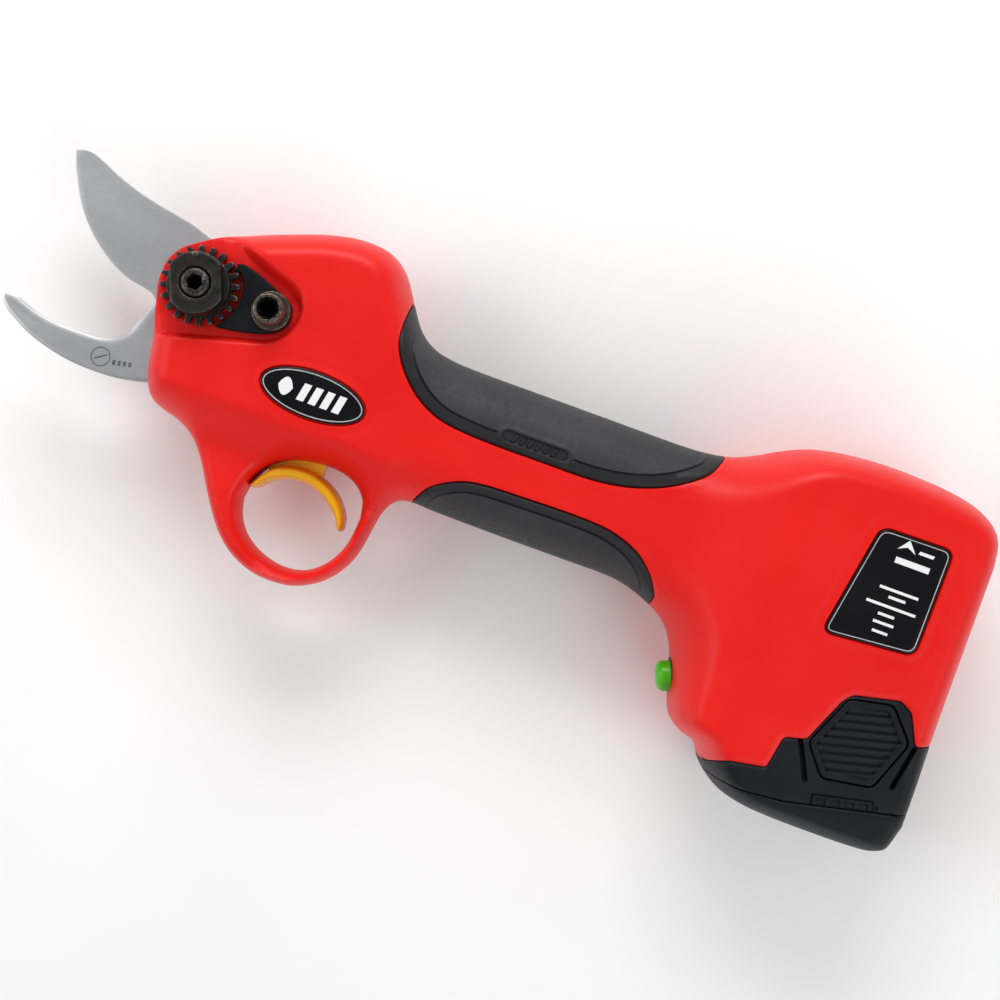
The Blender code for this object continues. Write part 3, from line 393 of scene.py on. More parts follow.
# ---- the housing's surface ----
top_line = smooth(TOP)
outline = spread(tidy_loop(np.vstack([top_line, smooth(RING + REAR)[::-1]])), 0.8)
core = tidy_loop(np.vstack([top_line, smooth(CORE + REAR)[::-1]]))
hole = spread(tidy_loop(np.vstack([smooth(HOLE_LOW, 6), smooth(HOLE_HIGH, 6)[::-1]])), 0.7)
BODY = [outline, hole]
GRIP_LOOPS = {level: np.vstack([line[:1], smooth(line[1:-1], 6), line[-1:]])
              for level, line in (("upper", UPPER_GRIP), ("lower", LOWER_GRIP))}
recess_loop = np.vstack([smooth(RECESS[1:-1]), RECESS[-1:], RECESS[:1]])
plate_loop = rounded(PLATE, 3)
tab_loop = rounded(TAB, 1.6)
badge_loop = circle(1, count=96) * BADGE_SIZE + BADGE_AT
below_cut = np.array([*rounded(CUT_LINE, 1.0, 4)[4:-4], (245, -46.8), (245, -110), (150, -110), (150, -78)])


def ringness(x, y):
    """1 round the finger ring, 0 elsewhere."""
    return ramp(-y, 26, 41) * (1 - ramp(x, 60, 76))


def half_width(x, y):
    """Height of the flat of the housing's side over the seam plane."""
    w = 19 - 1.5 * ramp(x, 50, 72) + 8.5 * ramp(x, 140, 180)
    return w + (10 - w) * ringness(x, y)


def rounding(x, y):
    """How far in from the outline the rounded edge reaches."""
    r = 9 + 6 * ramp(x, 50, 74) - 6 * ramp(x, 150, 185)
    r = r + (7 - r) * ramp(x, 148, 168) * ramp(-y, 40, 68)
    return r + (3.2 - r) * ringness(x, y)


def domed(height, depth):
    """A surface that rises from the rim at depth 0 to its full height at depth 1."""
    return RIM_Z + (height - RIM_Z) * bulge(depth)


def skin(p):
    """Height of the plain outer surface over the seam plane."""
    return domed(half_width(*p.T), distance(p, BODY) / rounding(*p.T))


def wall(x):
    return WALL_HEAD + (WALL_GRIP - WALL_HEAD) * ramp(x, 46, 56) + (WALL_REAR - WALL_GRIP) * ramp(x, 152, 160)


def own_frame(p, at, turn):
    """The points' two coordinates in a frame that is moved and turned."""
    dx, dy = (p - at).T
    return dx * cos(turn) + dy * sin(turn), -dx * sin(turn) + dy * cos(turn)


def hollow(p):
    """Height of the housing's inner surface, and the seam plane where the housing is solid."""
    x, y = p.T
    depth = np.where(inside(p, [core]), distance(p, [core]), 0) - wall(x)
    width = 10.5 + 3.3 * ramp(x, 42, 54) + 9 * ramp(x, 146, 176)
    z = np.where(depth > 0, domed(width, depth / (0.9 * (9 + 6 * ramp(x, 50, 74)))), SEAM)
    across, up = own_frame(p, BATTERY_AT, TILT)
    z = np.where((np.abs(across) < BAY) & (up > -20.0) & (up < 74.8), BAY, z)
    blades = (np.hypot(x, y) < 16) | ((x < -2.5) & (y > -31.5) & (y < 24))
    z = np.where(blades, np.maximum(z, BLADE_ROOM), z)
    lever = (x > 31) & (x < 49) & (y < -29) & (y > -44)
    z = np.where(lever, np.maximum(z, 3.4), z)
    along, across = own_frame(p, BUTTON_AT[:2], BUTTON_AIM)
    bore = np.sqrt(np.maximum(36 - across**2, 0))
    return np.where((np.abs(along) < 9) & (bore > 0), np.maximum(z, bore), z)


def shell_top(side):
    """The skin, lowered at labels, seams and screws, and raised round the pivot on the left side."""
    def height(p):
        x, y = p.T
        z = skin(p)
        if side == "left":
            boss = domed(15.2, distance(p, BODY) / 1.3)
            z = z + (np.maximum(z, boss) - z) * (1 - ramp(np.hypot(x, y), 13.5, 20))
            floor = np.minimum(z, LOCK_SEAT)
            z = floor + (z - floor) * ramp(reach(p, recess_loop), -0.5, 1.1 + 1.7 * ramp(y, 4, 9))
            z = z - 1.3 * sunk(p, plate_loop, -0.55, -0.15)  # the rating plate's seat and the line round it
            z = z - 0.22 * near_line(p, offset(plate_loop, -2.6), 0, 0.8)
        z = z - np.clip(z - BADGE_SEAT, 0, 2) * sunk(p, badge_loop, -0.6, -0.2)
        z = z - 0.2 * near_line(p, offset(badge_loop, -2.3), 0, 0.8)
        for loop in GRIP_LOOPS.values():
            g = reach(p, loop)
            z = z - 2.6 * ramp(-g, -0.1, 0.25)  # the grip's seat and the slight ridge round it
            z = z + 0.16 * ((1 - ramp(np.abs(g - 0.9), 0, 0.9)) * (g > -0.1))
        z = z - 0.35 * (1 - ramp(reach(p, below_cut), 0, 0.6))
        if side == "right":
            for sx, sy, seat in SCREWS:
                z = np.where(np.hypot(x - sx, y - sy) < SCREW_POCKET, np.minimum(z, seat + 0.02), z)
            z = np.where(np.hypot(x, y) < HEAD_POCKET, np.minimum(z, HEAD_SEAT), z)
        return z
    return height


def shell(side):
    """One moulded half of the housing."""
    lines = rings(outline, RIM_STEPS[:7], 0) + rings(hole, [-d for d in RIM_STEPS[:6]], 0)
    for loop in GRIP_LOOPS.values():
        lines += rings(loop, (-1.8, -0.9, -0.1, 0.08, 0.25), 0.9)
    lines += rings(badge_loop, (-3.1, -2.3, -1.5, -0.6, -0.4, -0.2, 0.1), 0)
    lines += rings(below_cut, (-0.6, -0.3, 0.0), 0.9)
    if side == "left":
        lines += rings(plate_loop, (-3.4, -2.6, -1.8, -0.55, -0.35, -0.15, 0.1), 0.9)
        lines += rings(recess_loop, (-2.8, -2.1, -1.4, -0.8, -0.3, 0.1, 0.5))
    else:
        lines += [(circle(SCREW_POCKET + d, (x, y), 32), True) for x, y, _ in SCREWS for d in (-0.05, 0.05)]
        lines += [(circle(HEAD_POCKET + d), True) for d in (-0.1, 0.1)]

    def keep(centre):
        """Leaves out the battery's side of the cut, the bolt's hole and what the grips cover."""
        gone = inside(centre, [below_cut]) | (np.hypot(*centre.T) < BOLT_HOLE)
        at_rim = distance(centre, BODY) < 2.6
        for loop in GRIP_LOOPS.values():
            g = reach(centre, loop)
            gone |= (g < -2.0) | ((g < 0) & at_rim)
        return ~gone

    lines = clipped(lines, BODY) + [(circle(BOLT_HOLE, count=36), True)]
    plan = sheet(BODY, lines, 1.0, keep)
    return solid(f"housing_{side}_moulding", plan, shell_top(side), hollow, side == "right")


# ---- materials ----
def material(name, metallic=0.0, specular=0.5):
    """A node material: itself, its shader and its node tree."""
    mat = bpy.data.materials.new(name)
    mat.use_nodes = True
    shader = mat.node_tree.nodes["Principled BSDF"]
    shader.inputs["Metallic"].default_value = metallic
    shader.inputs["Specular IOR Level"].default_value = specular
    return mat, shader, mat.node_tree


def put(tree, socket, value):
    """Sets the socket to a value, or links another node's output to it."""
    if isinstance(value, bpy.types.NodeSocket):
        tree.links.new(value, socket)
    else:
        socket.default_value = value


def node(tree, kind, inputs=None, **settings):
    """Adds a node; its inputs are values or other nodes' outputs."""
    new = tree.nodes.new("ShaderNode" + kind)
    for key, value in settings.items():
        setattr(new, key, value)
    for key, value in (inputs or {}).items():
        put(tree, new.inputs[key], value)
    return new


def noise(tree, scale, detail=3.0, stretch=(1, 1, 1), turn=0.0):
    """Noise in the piece's own space, scale in waves per metre."""
    coords = node(tree, "TexCoord").outputs["Object"]
    mapping = node(tree, "Mapping", {"Vector": coords, "Scale": stretch, "Rotation": (0, 0, turn)})
    return node(tree, "TexNoise", {"Vector": mapping.outputs["Vector"], "Scale": scale, "Detail": detail,
                                   "Roughness": 0.55}).outputs["Fac"]


def between(tree, source, low, high, span=(0.3, 0.7)):
    """Blends two colours, or two plain values, as the source crosses the span."""
    blend = node(tree, "ValToRGB", {"Fac": source})
    for stop, position, value in zip(blend.color_ramp.elements, span, (low, high)):
        stop.position = position
        stop.color = (*(value if isinstance(value, tuple) else (value, value, value)), 1)
    return blend.outputs["Color"]


def bump(tree, shader, source, strength, depth):
    """Adds the source as a bump of that depth in millimetres."""
    bumps = node(tree, "Bump", {"Strength": strength, "Distance": depth * MM, "Height": source})
    normal = shader.inputs["Normal"]
    if normal.is_linked:
        put(tree, bumps.inputs["Normal"], normal.links[0].from_socket)
    put(tree, normal, bumps.outputs["Normal"])


def mix(tree, a, b, factor):
    return node(tree, "Mix", {"Factor": factor, "A": a, "B": b}, data_type="RGBA").outputs["Result"]


def feed(tree, shader, colour, roughness):
    put(tree, shader.inputs["Base Color"], colour)
    put(tree, shader.inputs["Roughness"], roughness)


def worn_edges(tree, span):
    """1 on convex edges, broken up by noise; the span is that of the edge's sharpness."""
    edge = between(tree, node(tree, "NewGeometry").outputs["Pointiness"], 0, 1, span)
    patchy = between(tree, noise(tree, 1500, 4), 0, 1, (0.38, 0.62))
    return node(tree, "Math", {0: edge, 1: patchy}, operation="MULTIPLY").outputs[0]


def moulded(name, dark, light, rough=(0.4, 0.5), grain=2600, depth=0.02, specular=0.35):
    """Moulded plastic: slight mottling of the colour, fine spark-eroded grain, uneven gloss."""
    mat, shader, tree = material(name, specular=specular)
    feed(tree, shader, between(tree, noise(tree, 22, 2), dark, light),
         between(tree, noise(tree, 90, 4), *rough))
    bump(tree, shader, noise(tree, grain, 2), 0.5, depth)
    bump(tree, shader, noise(tree, 60, 2), 0.25, 0.05)
    return mat


def rubber():
    """Soft grip rubber: matt charcoal with a fine sandy grain and pale dust specks."""
    mat, shader, tree = material("grip_rubber_look", specular=0.45)
    base = between(tree, noise(tree, 40, 3), (0.018, 0.018, 0.020), (0.030, 0.030, 0.033))
    speck = between(tree, noise(tree, 2100, 3), 0, 0.3, (0.60, 0.78))
    pale = between(tree, noise(tree, 300, 2), (0.10, 0.10, 0.105), (0.15, 0.15, 0.155), (0.0, 1.0))
    feed(tree, shader, mix(tree, base, pale, speck), between(tree, noise(tree, 700, 3), 0.52, 0.7))
    bump(tree, shader, noise(tree, 2300, 3), 0.8, 0.05)
    return mat


def ground_steel():
    """Ground and polished blade steel with fine lines along the blade."""
    mat, shader, tree = material("blade_steel_look", 1.0)
    fine = noise(tree, 1.0, 3, (420, 6800, 900), radians(24))
    broad = noise(tree, 1.0, 2, (18, 60, 30), radians(24))
    dull = between(tree, broad, (0.40, 0.41, 0.43), (0.52, 0.53, 0.55))
    bright = between(tree, broad, (0.46, 0.47, 0.49), (0.60, 0.61, 0.63))
    colour = mix(tree, dull, bright, between(tree, fine, 0, 1, (0.35, 0.65)))
    feed(tree, shader, colour, between(tree, fine, 0.36, 0.44))
    bump(tree, shader, fine, 0.12, 0.01)
    return mat


def oxide(name, dark, light, worn, rough=(0.36, 0.55), edges=(0.508, 0.575), metallic=0.85, specular=0.5):
    """Black oxide steel, mottled, rubbed bright on its edges."""
    mat, shader, tree = material(name, metallic, specular)
    base = between(tree, noise(tree, 420, 4), dark, light)
    bright = between(tree, noise(tree, 900, 3), tuple(0.6 * c for c in worn), worn, (0.2, 0.8))
    colour = mix(tree, base, bright, worn_edges(tree, edges))
    feed(tree, shader, colour, between(tree, noise(tree, 700, 3), *rough))
    bump(tree, shader, noise(tree, 1600, 3), 0.5, 0.03)
    return mat


def metal(name, dark, light, rough=(0.25, 0.42), metallic=1.0):
    """Turned metal."""
    mat, shader, tree = material(name, metallic)
    turned_lines = noise(tree, 1.0, 2, (1800, 300, 300))
    feed(tree, shader, between(tree, noise(tree, 120, 3), dark, light), between(tree, turned_lines, *rough))
    bump(tree, shader, noise(tree, 1.0, 2, (2600, 300, 300)), 0.2, 0.01)
    return mat


LOOKS = {
    "red_shell": moulded("red_shell_look", (0.74, 0.008, 0.006), (0.8, 0.011, 0.008), (0.36, 0.44), 2600,
                         0.012, 0.25),
    "grip_rubber": rubber(),
    "label_black": moulded("label_look", (0.002, 0.002, 0.003), (0.005, 0.005, 0.006), (0.2, 0.3), 900,
                           0.004, 0.25),
    "blade_steel": ground_steel(),
    "black_oxide": oxide("black_oxide_look", (0.018, 0.017, 0.016), (0.045, 0.042, 0.038),
                         (0.28, 0.27, 0.25)),
    "bright_steel": metal("bright_steel_look", (0.45, 0.45, 0.46), (0.62, 0.62, 0.63)),
    "amber_plastic": moulded("amber_look", (0.76, 0.37, 0.004), (0.86, 0.45, 0.008), (0.26, 0.34), 1500,
                             0.01),
    "green_plastic": moulded("green_look", (0.055, 0.41, 0.004), (0.08, 0.5, 0.008), (0.28, 0.36), 1500,
                             0.01),
    "battery_black": moulded("battery_look", (0.003, 0.004, 0.007), (0.006, 0.007, 0.012), (0.46, 0.58), 2300,
                             0.03, 0.22),
    "dark_plastic": moulded("dark_look", 0.012, 0.024),
    "brass": metal("brass_look", (0.50, 0.34, 0.10), (0.62, 0.44, 0.16)),
    "board_green": moulded("board_look", (0.008, 0.09, 0.02), (0.014, 0.15, 0.035), (0.35, 0.5), 700, 0.03),
    "cell_wrap": moulded("cell_look", (0.025, 0.18, 0.36), (0.04, 0.26, 0.48), (0.3, 0.4), 900, 0.01),
    "wire_red": moulded("wire_red_look", (0.5, 0.01, 0.01), (0.65, 0.015, 0.012)),
    "wire_black": moulded("wire_black_look", 0.012, 0.02),
    "magnet": metal("magnet_look", (0.3, 0.3, 0.31), (0.42, 0.42, 0.43)),
}
SILVER = metal("silver_ink", (0.55, 0.56, 0.58), (0.72, 0.73, 0.75), (0.3, 0.45), 0.6)
WHITE_INK = moulded("white_ink", 0.80, 0.90, (0.4, 0.5), 1800, 0.01)
RUSTY = oxide("lock_screw_look", (0.045, 0.030, 0.022), (0.11, 0.080, 0.060), (0.60, 0.55, 0.48),
              (0.28, 0.45), (0.50, 0.58))
DARK_PLATE = oxide("lock_plate_look", (0.003, 0.004, 0.005), (0.007, 0.009, 0.010), (0.06, 0.06, 0.06),
                   (0.5, 0.6), (0.54, 0.62), 0.0, 0.14)
RIM = moulded("grip_rim_look", (0.009, 0.009, 0.011), (0.015, 0.015, 0.018), (0.45, 0.56), 2300)
ETCHED = metal("etched_look", (0.13, 0.13, 0.14), (0.18, 0.18, 0.19), (0.5, 0.6))
# painted shade: a near-black look for liners put inside sockets, where shade falls in the hole
SHADE = moulded("painted_socket_shade_look", 0.001, 0.003, (0.6, 0.75), 900, 0.01, 0.1)


def dress(obj, body, slot=None, stands_for=(), look=None):
    """Gives the piece its material, its own look or that of its slot, puts it on its body and hides the CAD
    nodes it stands for.
    """
    obj.data.materials.clear()
    obj.data.materials.append(look or LOOKS[slot])
    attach(obj, body)
    if stands_for:
        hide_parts(*stands_for)
    return obj


# ---- housing and grips ----
for side in ("left", "right"):
    dress(shell(side), "shell", "red_shell", [f"housing_{side}"])


GROOVES = {"upper": 3.7, "lower": 3.1}  # how far in from its edge each grip's groove runs
CAPSULE = capsule((101.3, -9.8), 20.5, 4.4)
SLASHES = [np.array([(94.6, -11), (95.6, -11), (96.4, -8.7), (95.4, -8.7)]) + (2.3 * i, 0) for i in range(6)]


def grip(level, side):
    """One rubber panel: rounded at its edge, grooved near it, with a raised capsule on the upper ones."""
    loop, inset = GRIP_LOOPS[level], GROOVES[level]
    groove_loop = offset(spread(loop, 1.2), inset)

    def top(p):
        g = reach(p, loop)
        z = skin(p) + 0.12 - 0.45 * ramp(g, -1.0, -GAP) ** 1.5 - 0.35 * np.clip(1 + g / inset, 0, 1)
        groove = near_line(p, groove_loop, 0.05, 0.42)
        if level == "upper":
            c = reach(p, CAPSULE)
            groove = groove * ramp(c, 0.2, 0.5)
            z = z + 0.3 * (1 - ramp(np.abs(c + 0.35), 0.1, 0.42)) - 0.35 * ramp(-c, 0.6, 0.9)
            for slash in SLASHES:
                z = z + 0.45 * sunk(p, slash, -0.12, 0.12)
        return z - 0.5 * groove

    def bottom(p):
        depth = distance(p, BODY) - GRIP_DEPTH
        z = domed(half_width(*p.T) - GRIP_DEPTH, np.maximum(depth, 0) / (0.9 * rounding(*p.T)))
        return np.where(depth > 0, z, SEAM)

    lines = rings(outline, RIM_STEPS, 0) + rings(loop, (GAP, 0.45, 0.65, 0.95), 0.9)
    lines += rings(groove_loop, (-0.42, -0.22, 0, 0.22, 0.42), 0.9)
    if level == "upper":
        lines += rings(CAPSULE, (-0.1, 0.1, 0.35, 0.6, 0.85), 0.5)
        lines += [line for slash in SLASHES for line in rings(slash, (-0.12, 0.12), 0.5)]
    window = rect(loop.min(0) - 2, loop.max(0) + 2)
    edge = offset(loop, GAP)
    plan = sheet([outline], clipped(lines, BODY, window), 0.9, lambda c: reach(c, edge) < 0, window)
    return solid(f"grip_{level}_{side}_rubber", plan, top, bottom, side == "right")


def darken_rim(panel, level):
    """Gives the smooth rim, the groove and the capsule of a grip their glossier rubber."""
    panel.data.materials.append(RIM)
    centres = np.array([(p.center / MM)[:2] for p in panel.data.polygons]) - SHIFT[:2]
    rim = reach(centres, GRIP_LOOPS[level]) > -GROOVES[level] - 0.3
    if level == "upper":
        rim |= reach(centres, CAPSULE) < 0.1
    panel.data.polygons.foreach_set("material_index", rim.astype(np.int32))


for level, loop in GRIP_LOOPS.items():
    for side in ("left", "right"):
        darken_rim(dress(grip(level, side), "shell", "grip_rubber", [f"grip_{level}_{side}"]), level)


# ---- labels ----
def plate(name, loop, low, high, edge=0.3, mirror=False, step=1.2, holes=()):
    """A flat plate with a rounded upper edge."""
    def top(p):
        depth = -reach(p, loop)
        for other in holes:
            depth = np.minimum(depth, reach(p, other))
        return high - rolled(depth, edge, edge)

    insets = (edge * 0.12, edge * 0.4, edge)
    lines = rings(loop, insets, step)
    for other in holes:
        lines += rings(other, [-d for d in insets], step)
    plan = sheet([spread(loop, step), *(spread(other, step) for other in holes)], lines, step)
    return solid(name, plan, top, flat(low), mirror)


def band(name, loop, outer, inner, low, high, mirror=False):
    """A thin printed line that follows the outline at two distances inside it."""
    plan = sheet([spread(offset(loop, outer), 1), spread(offset(loop, inner), 1)], [], 2)
    return solid(name, plan, flat(high), flat(low), mirror)


def print_of(name, shapes, low, high, mirror=False):
    """Plain printed shapes as one piece."""
    corners = np.vstack(shapes)
    plan = sheet([rect(corners.min(0) - 1, corners.max(0) + 1)], [(spread(s, 1.5), True) for s in shapes], 3,
                 lambda c: np.any([inside(c, [s]) for s in shapes], axis=0))
    return solid(name, plan, flat(high), flat(low), mirror)


def label(node_name, face, loop, heights, border, shapes, mirror=False):
    """A black plate with a silver line and white shapes. The heights are those of the plate's two faces, of
    the underside of what is printed on it, and of the line's and the shapes' tops."""
    low, high, under, silver, white = heights
    dress(plate(f"{node_name}_{face}", loop, low, high, 0.25, mirror), "shell", "label_black", [node_name])
    dress(band(f"{node_name}_border", loop, *border, under, silver, mirror), "shell", look=SILVER)
    dress(print_of(f"{node_name}_print", shapes, under, white, mirror), "shell", look=WHITE_INK)


LEAF = np.array([(29.6 + 4.2 * t, BADGE_AT[1] + s * 2.6 * sin(pi * t) ** 0.8)
                 for s, ts in ((1, np.linspace(0, 1, 9)), (-1, np.linspace(1, 0, 9)[1:-1])) for t in ts])
BADGE_BARS = [bar(36 + 3.4 * i, 38.1 + 3.4 * i, BADGE_AT[1], 5.0, 0.2) for i in range(4)]
CREST = [np.array([(202.4, -2.8), (205, 0.4), (207.6, -2.8), (205, -1.6)]), bar(208.4, 212.6, -1.9, 0.9, 0.3)]
ROWS = [(202.9, 212.6, -5.7, 1.7), (201.4, 212.4, -13.8), (204.6, 209.4, -15.8), (199.2, 213.2, -18.4),
    (203.4, 208.0, -20.8), (202.8, 208.6, -23.1), (203.4, 207.8, -25.6)]
for side in ("left", "right"):
    label(f"badge_{side}", "plate", badge_loop, (18.45, 19.3, 19.2, 19.34, 19.36), (0.55, 0.85),
          [LEAF, *BADGE_BARS], side == "right")
label("rating_plate", "face", plate_loop, (24.75, 25.75, 25.6, 25.79, 25.81), (0.6, 0.85),
      [*CREST, *(bar(*row) for row in ROWS)])


# ---- blades ----
def blade(name, body, edge, rest, low, high, grind, back=None):
    """A blade ground along its edge on its low or high face, where `back` is chamfered a little."""
    loop = spread(tidy_loop(np.vstack([edge, rest])), 0.8)
    edge = spread(edge, 0.8, False)
    width, drop = (3.4, 2.9) if grind == "low" else (1.1, 0.2)

    def plain(p):
        return 0.04 * (1 - ramp(distance(p, [loop]), 0, 0.25))

    def ground(p):
        fall = drop * (1 - np.clip(distance(p, [edge], False) / width, 0, 1))
        if back is not None:
            fall = np.maximum(fall, 0.2 * (1 - np.clip(distance(p, [back], False) / 0.9, 0, 1)))
        return fall + plain(p)

    above, below = (plain, ground) if grind == "low" else (ground, plain)
    lines = rings(loop, (0.12, 0.25, width))
    if back is not None:
        lines += rings(loop, (0.9,))
    region = [loop, circle(5.8)]
    plan = sheet(region, clipped(lines, region), 1.0)
    piece = solid(f"{name}_ground", plan, lambda p: high - above(p), lambda p: low + below(p))
    dress(piece, body, "blade_steel", [name])


hook_back = smooth(HOOK_BACK, 4)
blade("fixed_blade", "shell", smooth(HOOK_EDGE, 4), np.vstack([smooth(TANG, 4), hook_back]), 0.2, 4.7, "high",
      hook_back)
blade_rest = np.vstack([smooth(BLADE_BACK, 4), smooth(BLADE_TAIL, 4)])
blade("moving_blade", "blade", smooth(BLADE_EDGE, 4), blade_rest, -4.2, -0.2, "low")

# ---- etched mark on the fixed blade ----
dress(band("fixed_blade_ring_mark", circle(2.8, ETCHED_AT), 0, 0.3, 4.6, 4.72), "shell", look=ETCHED)
etched = [placed(rect((-2.0, -0.2), (2.0, 0.2)), ETCHED_AT, radians(35))]
etched += [placed(rect((-0.45, -0.7), (0.45, 0.7)), (-18.2 + 1.5 * i, -27.9 + 0.3 * i), radians(12))
           for i in range(4)]
dress(print_of("fixed_blade_bar_mark", etched, 4.6, 4.72), "shell", look=ETCHED)

# ---- pivot nut, lock plate and screws ----
TEETH, TEETH_AT = 20, -0.6  # number of teeth, and the first one's angle in degrees


def gear_loop():
    """Worn teeth, narrower at their tips: half of one tooth as angle and radius, mirrored, then repeated."""
    profile = [(-9, 8.8), (-6.7, 8.85), (-5.3, 9.2), (-4.0, 10.1), (-3.3, 10.75), (-2.3, 11.05)]
    profile += [(-turn, radius) for turn, radius in profile[:0:-1]]
    return on_arcs([(radius, TEETH_AT + 360 / TEETH * k + turn)
                    for k in range(TEETH) for turn, radius in profile])


def on_arcs(polar):
    """Points given by radius and angle in degrees."""
    return np.array([(r * cos(radians(a)), r * sin(radians(a))) for r, a in polar])


def stacked(name, levels, bottom, hole_loop=None, socket=None, mirror=False):
    """A stepped round piece with an optional hole through it or a socket in its top. The levels are outline,
    height and edge radius, lowest first; the socket is its outline and the height of its floor."""
    loops = [tidy_loop(levels[0][0])] + ([hole_loop] if hole_loop is not None else [])
    lines = []
    for number, (loop, _, edge) in enumerate(levels):
        insets = (edge * 0.1, edge * 0.35, edge * 0.7, edge)
        lines += rings(loop, (-0.06, 0.0, *insets) if number else insets, 0.7)
    if hole_loop is not None:
        lines += rings(hole_loop, (-0.1, -0.25, -0.45), 0.6)
    if socket is not None:
        lines += rings(socket[0], (-0.35, -0.18, 0.0, 0.07), 0.5)

    def top(p):
        z = np.zeros(len(p))
        for loop, height, edge in levels:
            depth = -reach(p, loop)
            z = np.where(depth > -0.03, np.maximum(z, height - rolled(depth, edge, edge)), z)
        if hole_loop is not None:
            z = z - rolled(reach(p, hole_loop), 0.45, 0.45)
        if socket is not None:
            g = reach(p, socket[0])
            z = np.where(g > 0.01, z - rolled(g, 0.35, 0.3), z - 0.3)
            z = np.where(g < -0.035, socket[1], z)
        return z

    return solid(name, sheet(loops, clipped(lines, loops), 0.7), top, flat(bottom), mirror)


def fitting(name, levels, bottom, stands_for=(), look=None, **holes):
    """A stacked piece of black steel fixed to the housing, or, with the SHADE look, a near-black liner of
    painted shade inside a socket.
    """
    slot = None if look is SHADE else "black_oxide"
    dress(stacked(name, levels, bottom, **holes), "shell", slot, stands_for, look)


flats = placed(np.clip(circle(8.45, count=72), (-6.95, -9), (6.95, 9)), (0, 0), radians(22))
nut_levels = [(gear_loop(), 18.3, 0.3), (circle(8.6, count=90), 20.8, 0.25), (flats, 25.2, 0.5)]
fitting("adjusting_nut_worn", nut_levels, 15.4, ["adjusting_nut"], hole_loop=circle(BOLT_HOLE, count=60))
fitting("pivot_bolt_end", [(circle(3.9, count=60), 26.0, 0.9)], 0.0, ["pivot_bolt"],
        socket=(spread(circle(2.2, count=6), 0.5), 20.5))
fitting("pivot_bolt_head", [(circle(9, count=90), 18.8, 1.0)], 15.1, mirror=True)
fitting("pivot_bolt_shank", [(circle(3.85), 15.3, 0.1)], 0.1, mirror=True)
knurled = LOCK_AT + (circle(1, count=160).T * (4.15 - 0.1 * (np.arange(160) % 4 > 1))).T
fitting("lock_screw_worn", [(knurled, 25.2, 0.5)], 19.0, ["lock_screw"], RUSTY,
        socket=(spread(circle(3.05, LOCK_AT, 12), 0.4), 19.6))
# painted shade: a near-black liner inside the lock screw's socket, standing in for the shade in the hole
fitting("lock_screw_socket_shade", [(circle(2.97, LOCK_AT, 12), 24.5, 0.1)], 19.65, look=SHADE,
        socket=(spread(circle(2.6, LOCK_AT, 6), 0.4), 19.9))
# painted shade: a near-black disc at the bottom of the pivot bolt's hex socket, standing in for the shade in
# the hole
fitting("pivot_bolt_socket_shade", [(circle(1.8, count=36), 20.75, 0.05)], 20.4, look=SHADE)
lock_hole = circle(2.7, LOCK_AT, 40)
fitting("lock_washer_worn", [(circle(5.4, LOCK_AT, 60), 18.75, 0.25)], 17.9, ["lock_washer"], RUSTY,
        hole_loop=lock_hole)
pawl = [(11.65, a) for a in range(-50, 42, 4)] + [(10.1, 43.6), (10.1, 45.2), (11.65, 47.6), (11.65, 50)]
lock_loop = np.vstack([smooth(LOCK_PLATE, 4), on_arcs(pawl)])
dress(plate("lock_plate_worn", lock_loop, 15.4, 17.6, 0.4, step=0.7, holes=[lock_hole]), "shell",
      "black_oxide", ["lock_plate"], DARK_PLATE)

# ---- trigger ----
band_loop, web_loop = smooth(TRIGGER_BAND, closed=True), smooth(TRIGGER_WEB, closed=True)


def trigger():
    """The lever: a rounded finger band with a thinner web up to its pin."""
    def top(p):
        in_band, in_web = -reach(p, band_loop), -reach(p, web_loop)
        z = np.where(in_band > -1e-6, 1.0 + 7.0 * bulge(np.clip(in_band, 0, 1.5) / 1.5, 2.2), 0)
        return np.maximum(z, np.where(in_web > -1e-6, 2.3 + 0.6 * bulge(np.clip(in_web, 0, 0.6) / 0.6), 0))

    lines = rings(band_loop, (0.0, 0.04, 0.13, 0.3, 0.6, 1.0, 1.4), 0.6) + rings(web_loop, (0.0, 0.1, 0.6))
    region = [rect((25, -55), (62, -25)), circle(1.8, TRIGGER_AT, 24)]
    plan = sheet(region, lines, 0.7, lambda c: inside(c, [band_loop]) | inside(c, [web_loop]))
    return solid("trigger_lever", plan, top, lambda p: -top(p))


dress(trigger(), "trigger_lever", "amber_plastic", ["trigger"])


# ---- power button ----
def turned(name, profile, segments=72):
    """A turned solid about the power button's axis; the profile is radius and height."""
    points, faces = [], []
    at, c, s = BUTTON_AT, cos(BUTTON_AIM), sin(BUTTON_AIM)
    count = len(profile)
    for k in range(segments):
        a = 2 * pi * k / segments
        for r, h in profile:
            y = r * cos(a)
            points.append((at[0] + h * c - y * s, at[1] + h * s + y * c, at[2] + r * sin(a)))
        here, after = k * count, (k + 1) % segments * count
        for j in range(count if profile[0][0] > 0 else count - 1):
            i = (j + 1) % count
            faces.append((here + j, after + j, after + i, here + i))
    obj = made(name, points, faces)
    bm = bmesh.new()
    bm.from_mesh(obj.data)
    bmesh.ops.remove_doubles(bm, verts=bm.verts, dist=1e-7)
    bmesh.ops.dissolve_degenerate(bm, edges=bm.edges, dist=1e-8)
    bmesh.ops.recalc_face_normals(bm, faces=bm.faces)
    bm.to_mesh(obj.data)
    bm.free()
    smoothed(obj.data, 40)
    return obj


dome = [(4.4 * cos(t) ** 0.6, 2.2 + 2.2 * sin(t) ** 0.9)
        for t in np.linspace(0, pi / 2, 16)[:-1]]
cap = [(0, -4), (3.2, -4), (3.2, -0.6), (4.4, -0.6), *dome, (0, 4.4)]
dress(turned("power_button_cap", cap), "button", "green_plastic", ["power_button"])
lip = [(5.1 + 0.4 * cos(t), 0.4 * sin(t)) for t in np.linspace(0, pi, 9)]
dress(turned("button_bezel_ring", [(4.7, -2.4), (5.5, -2.4), *lip]), "shell", "dark_plastic",
      ["button_bezel"])

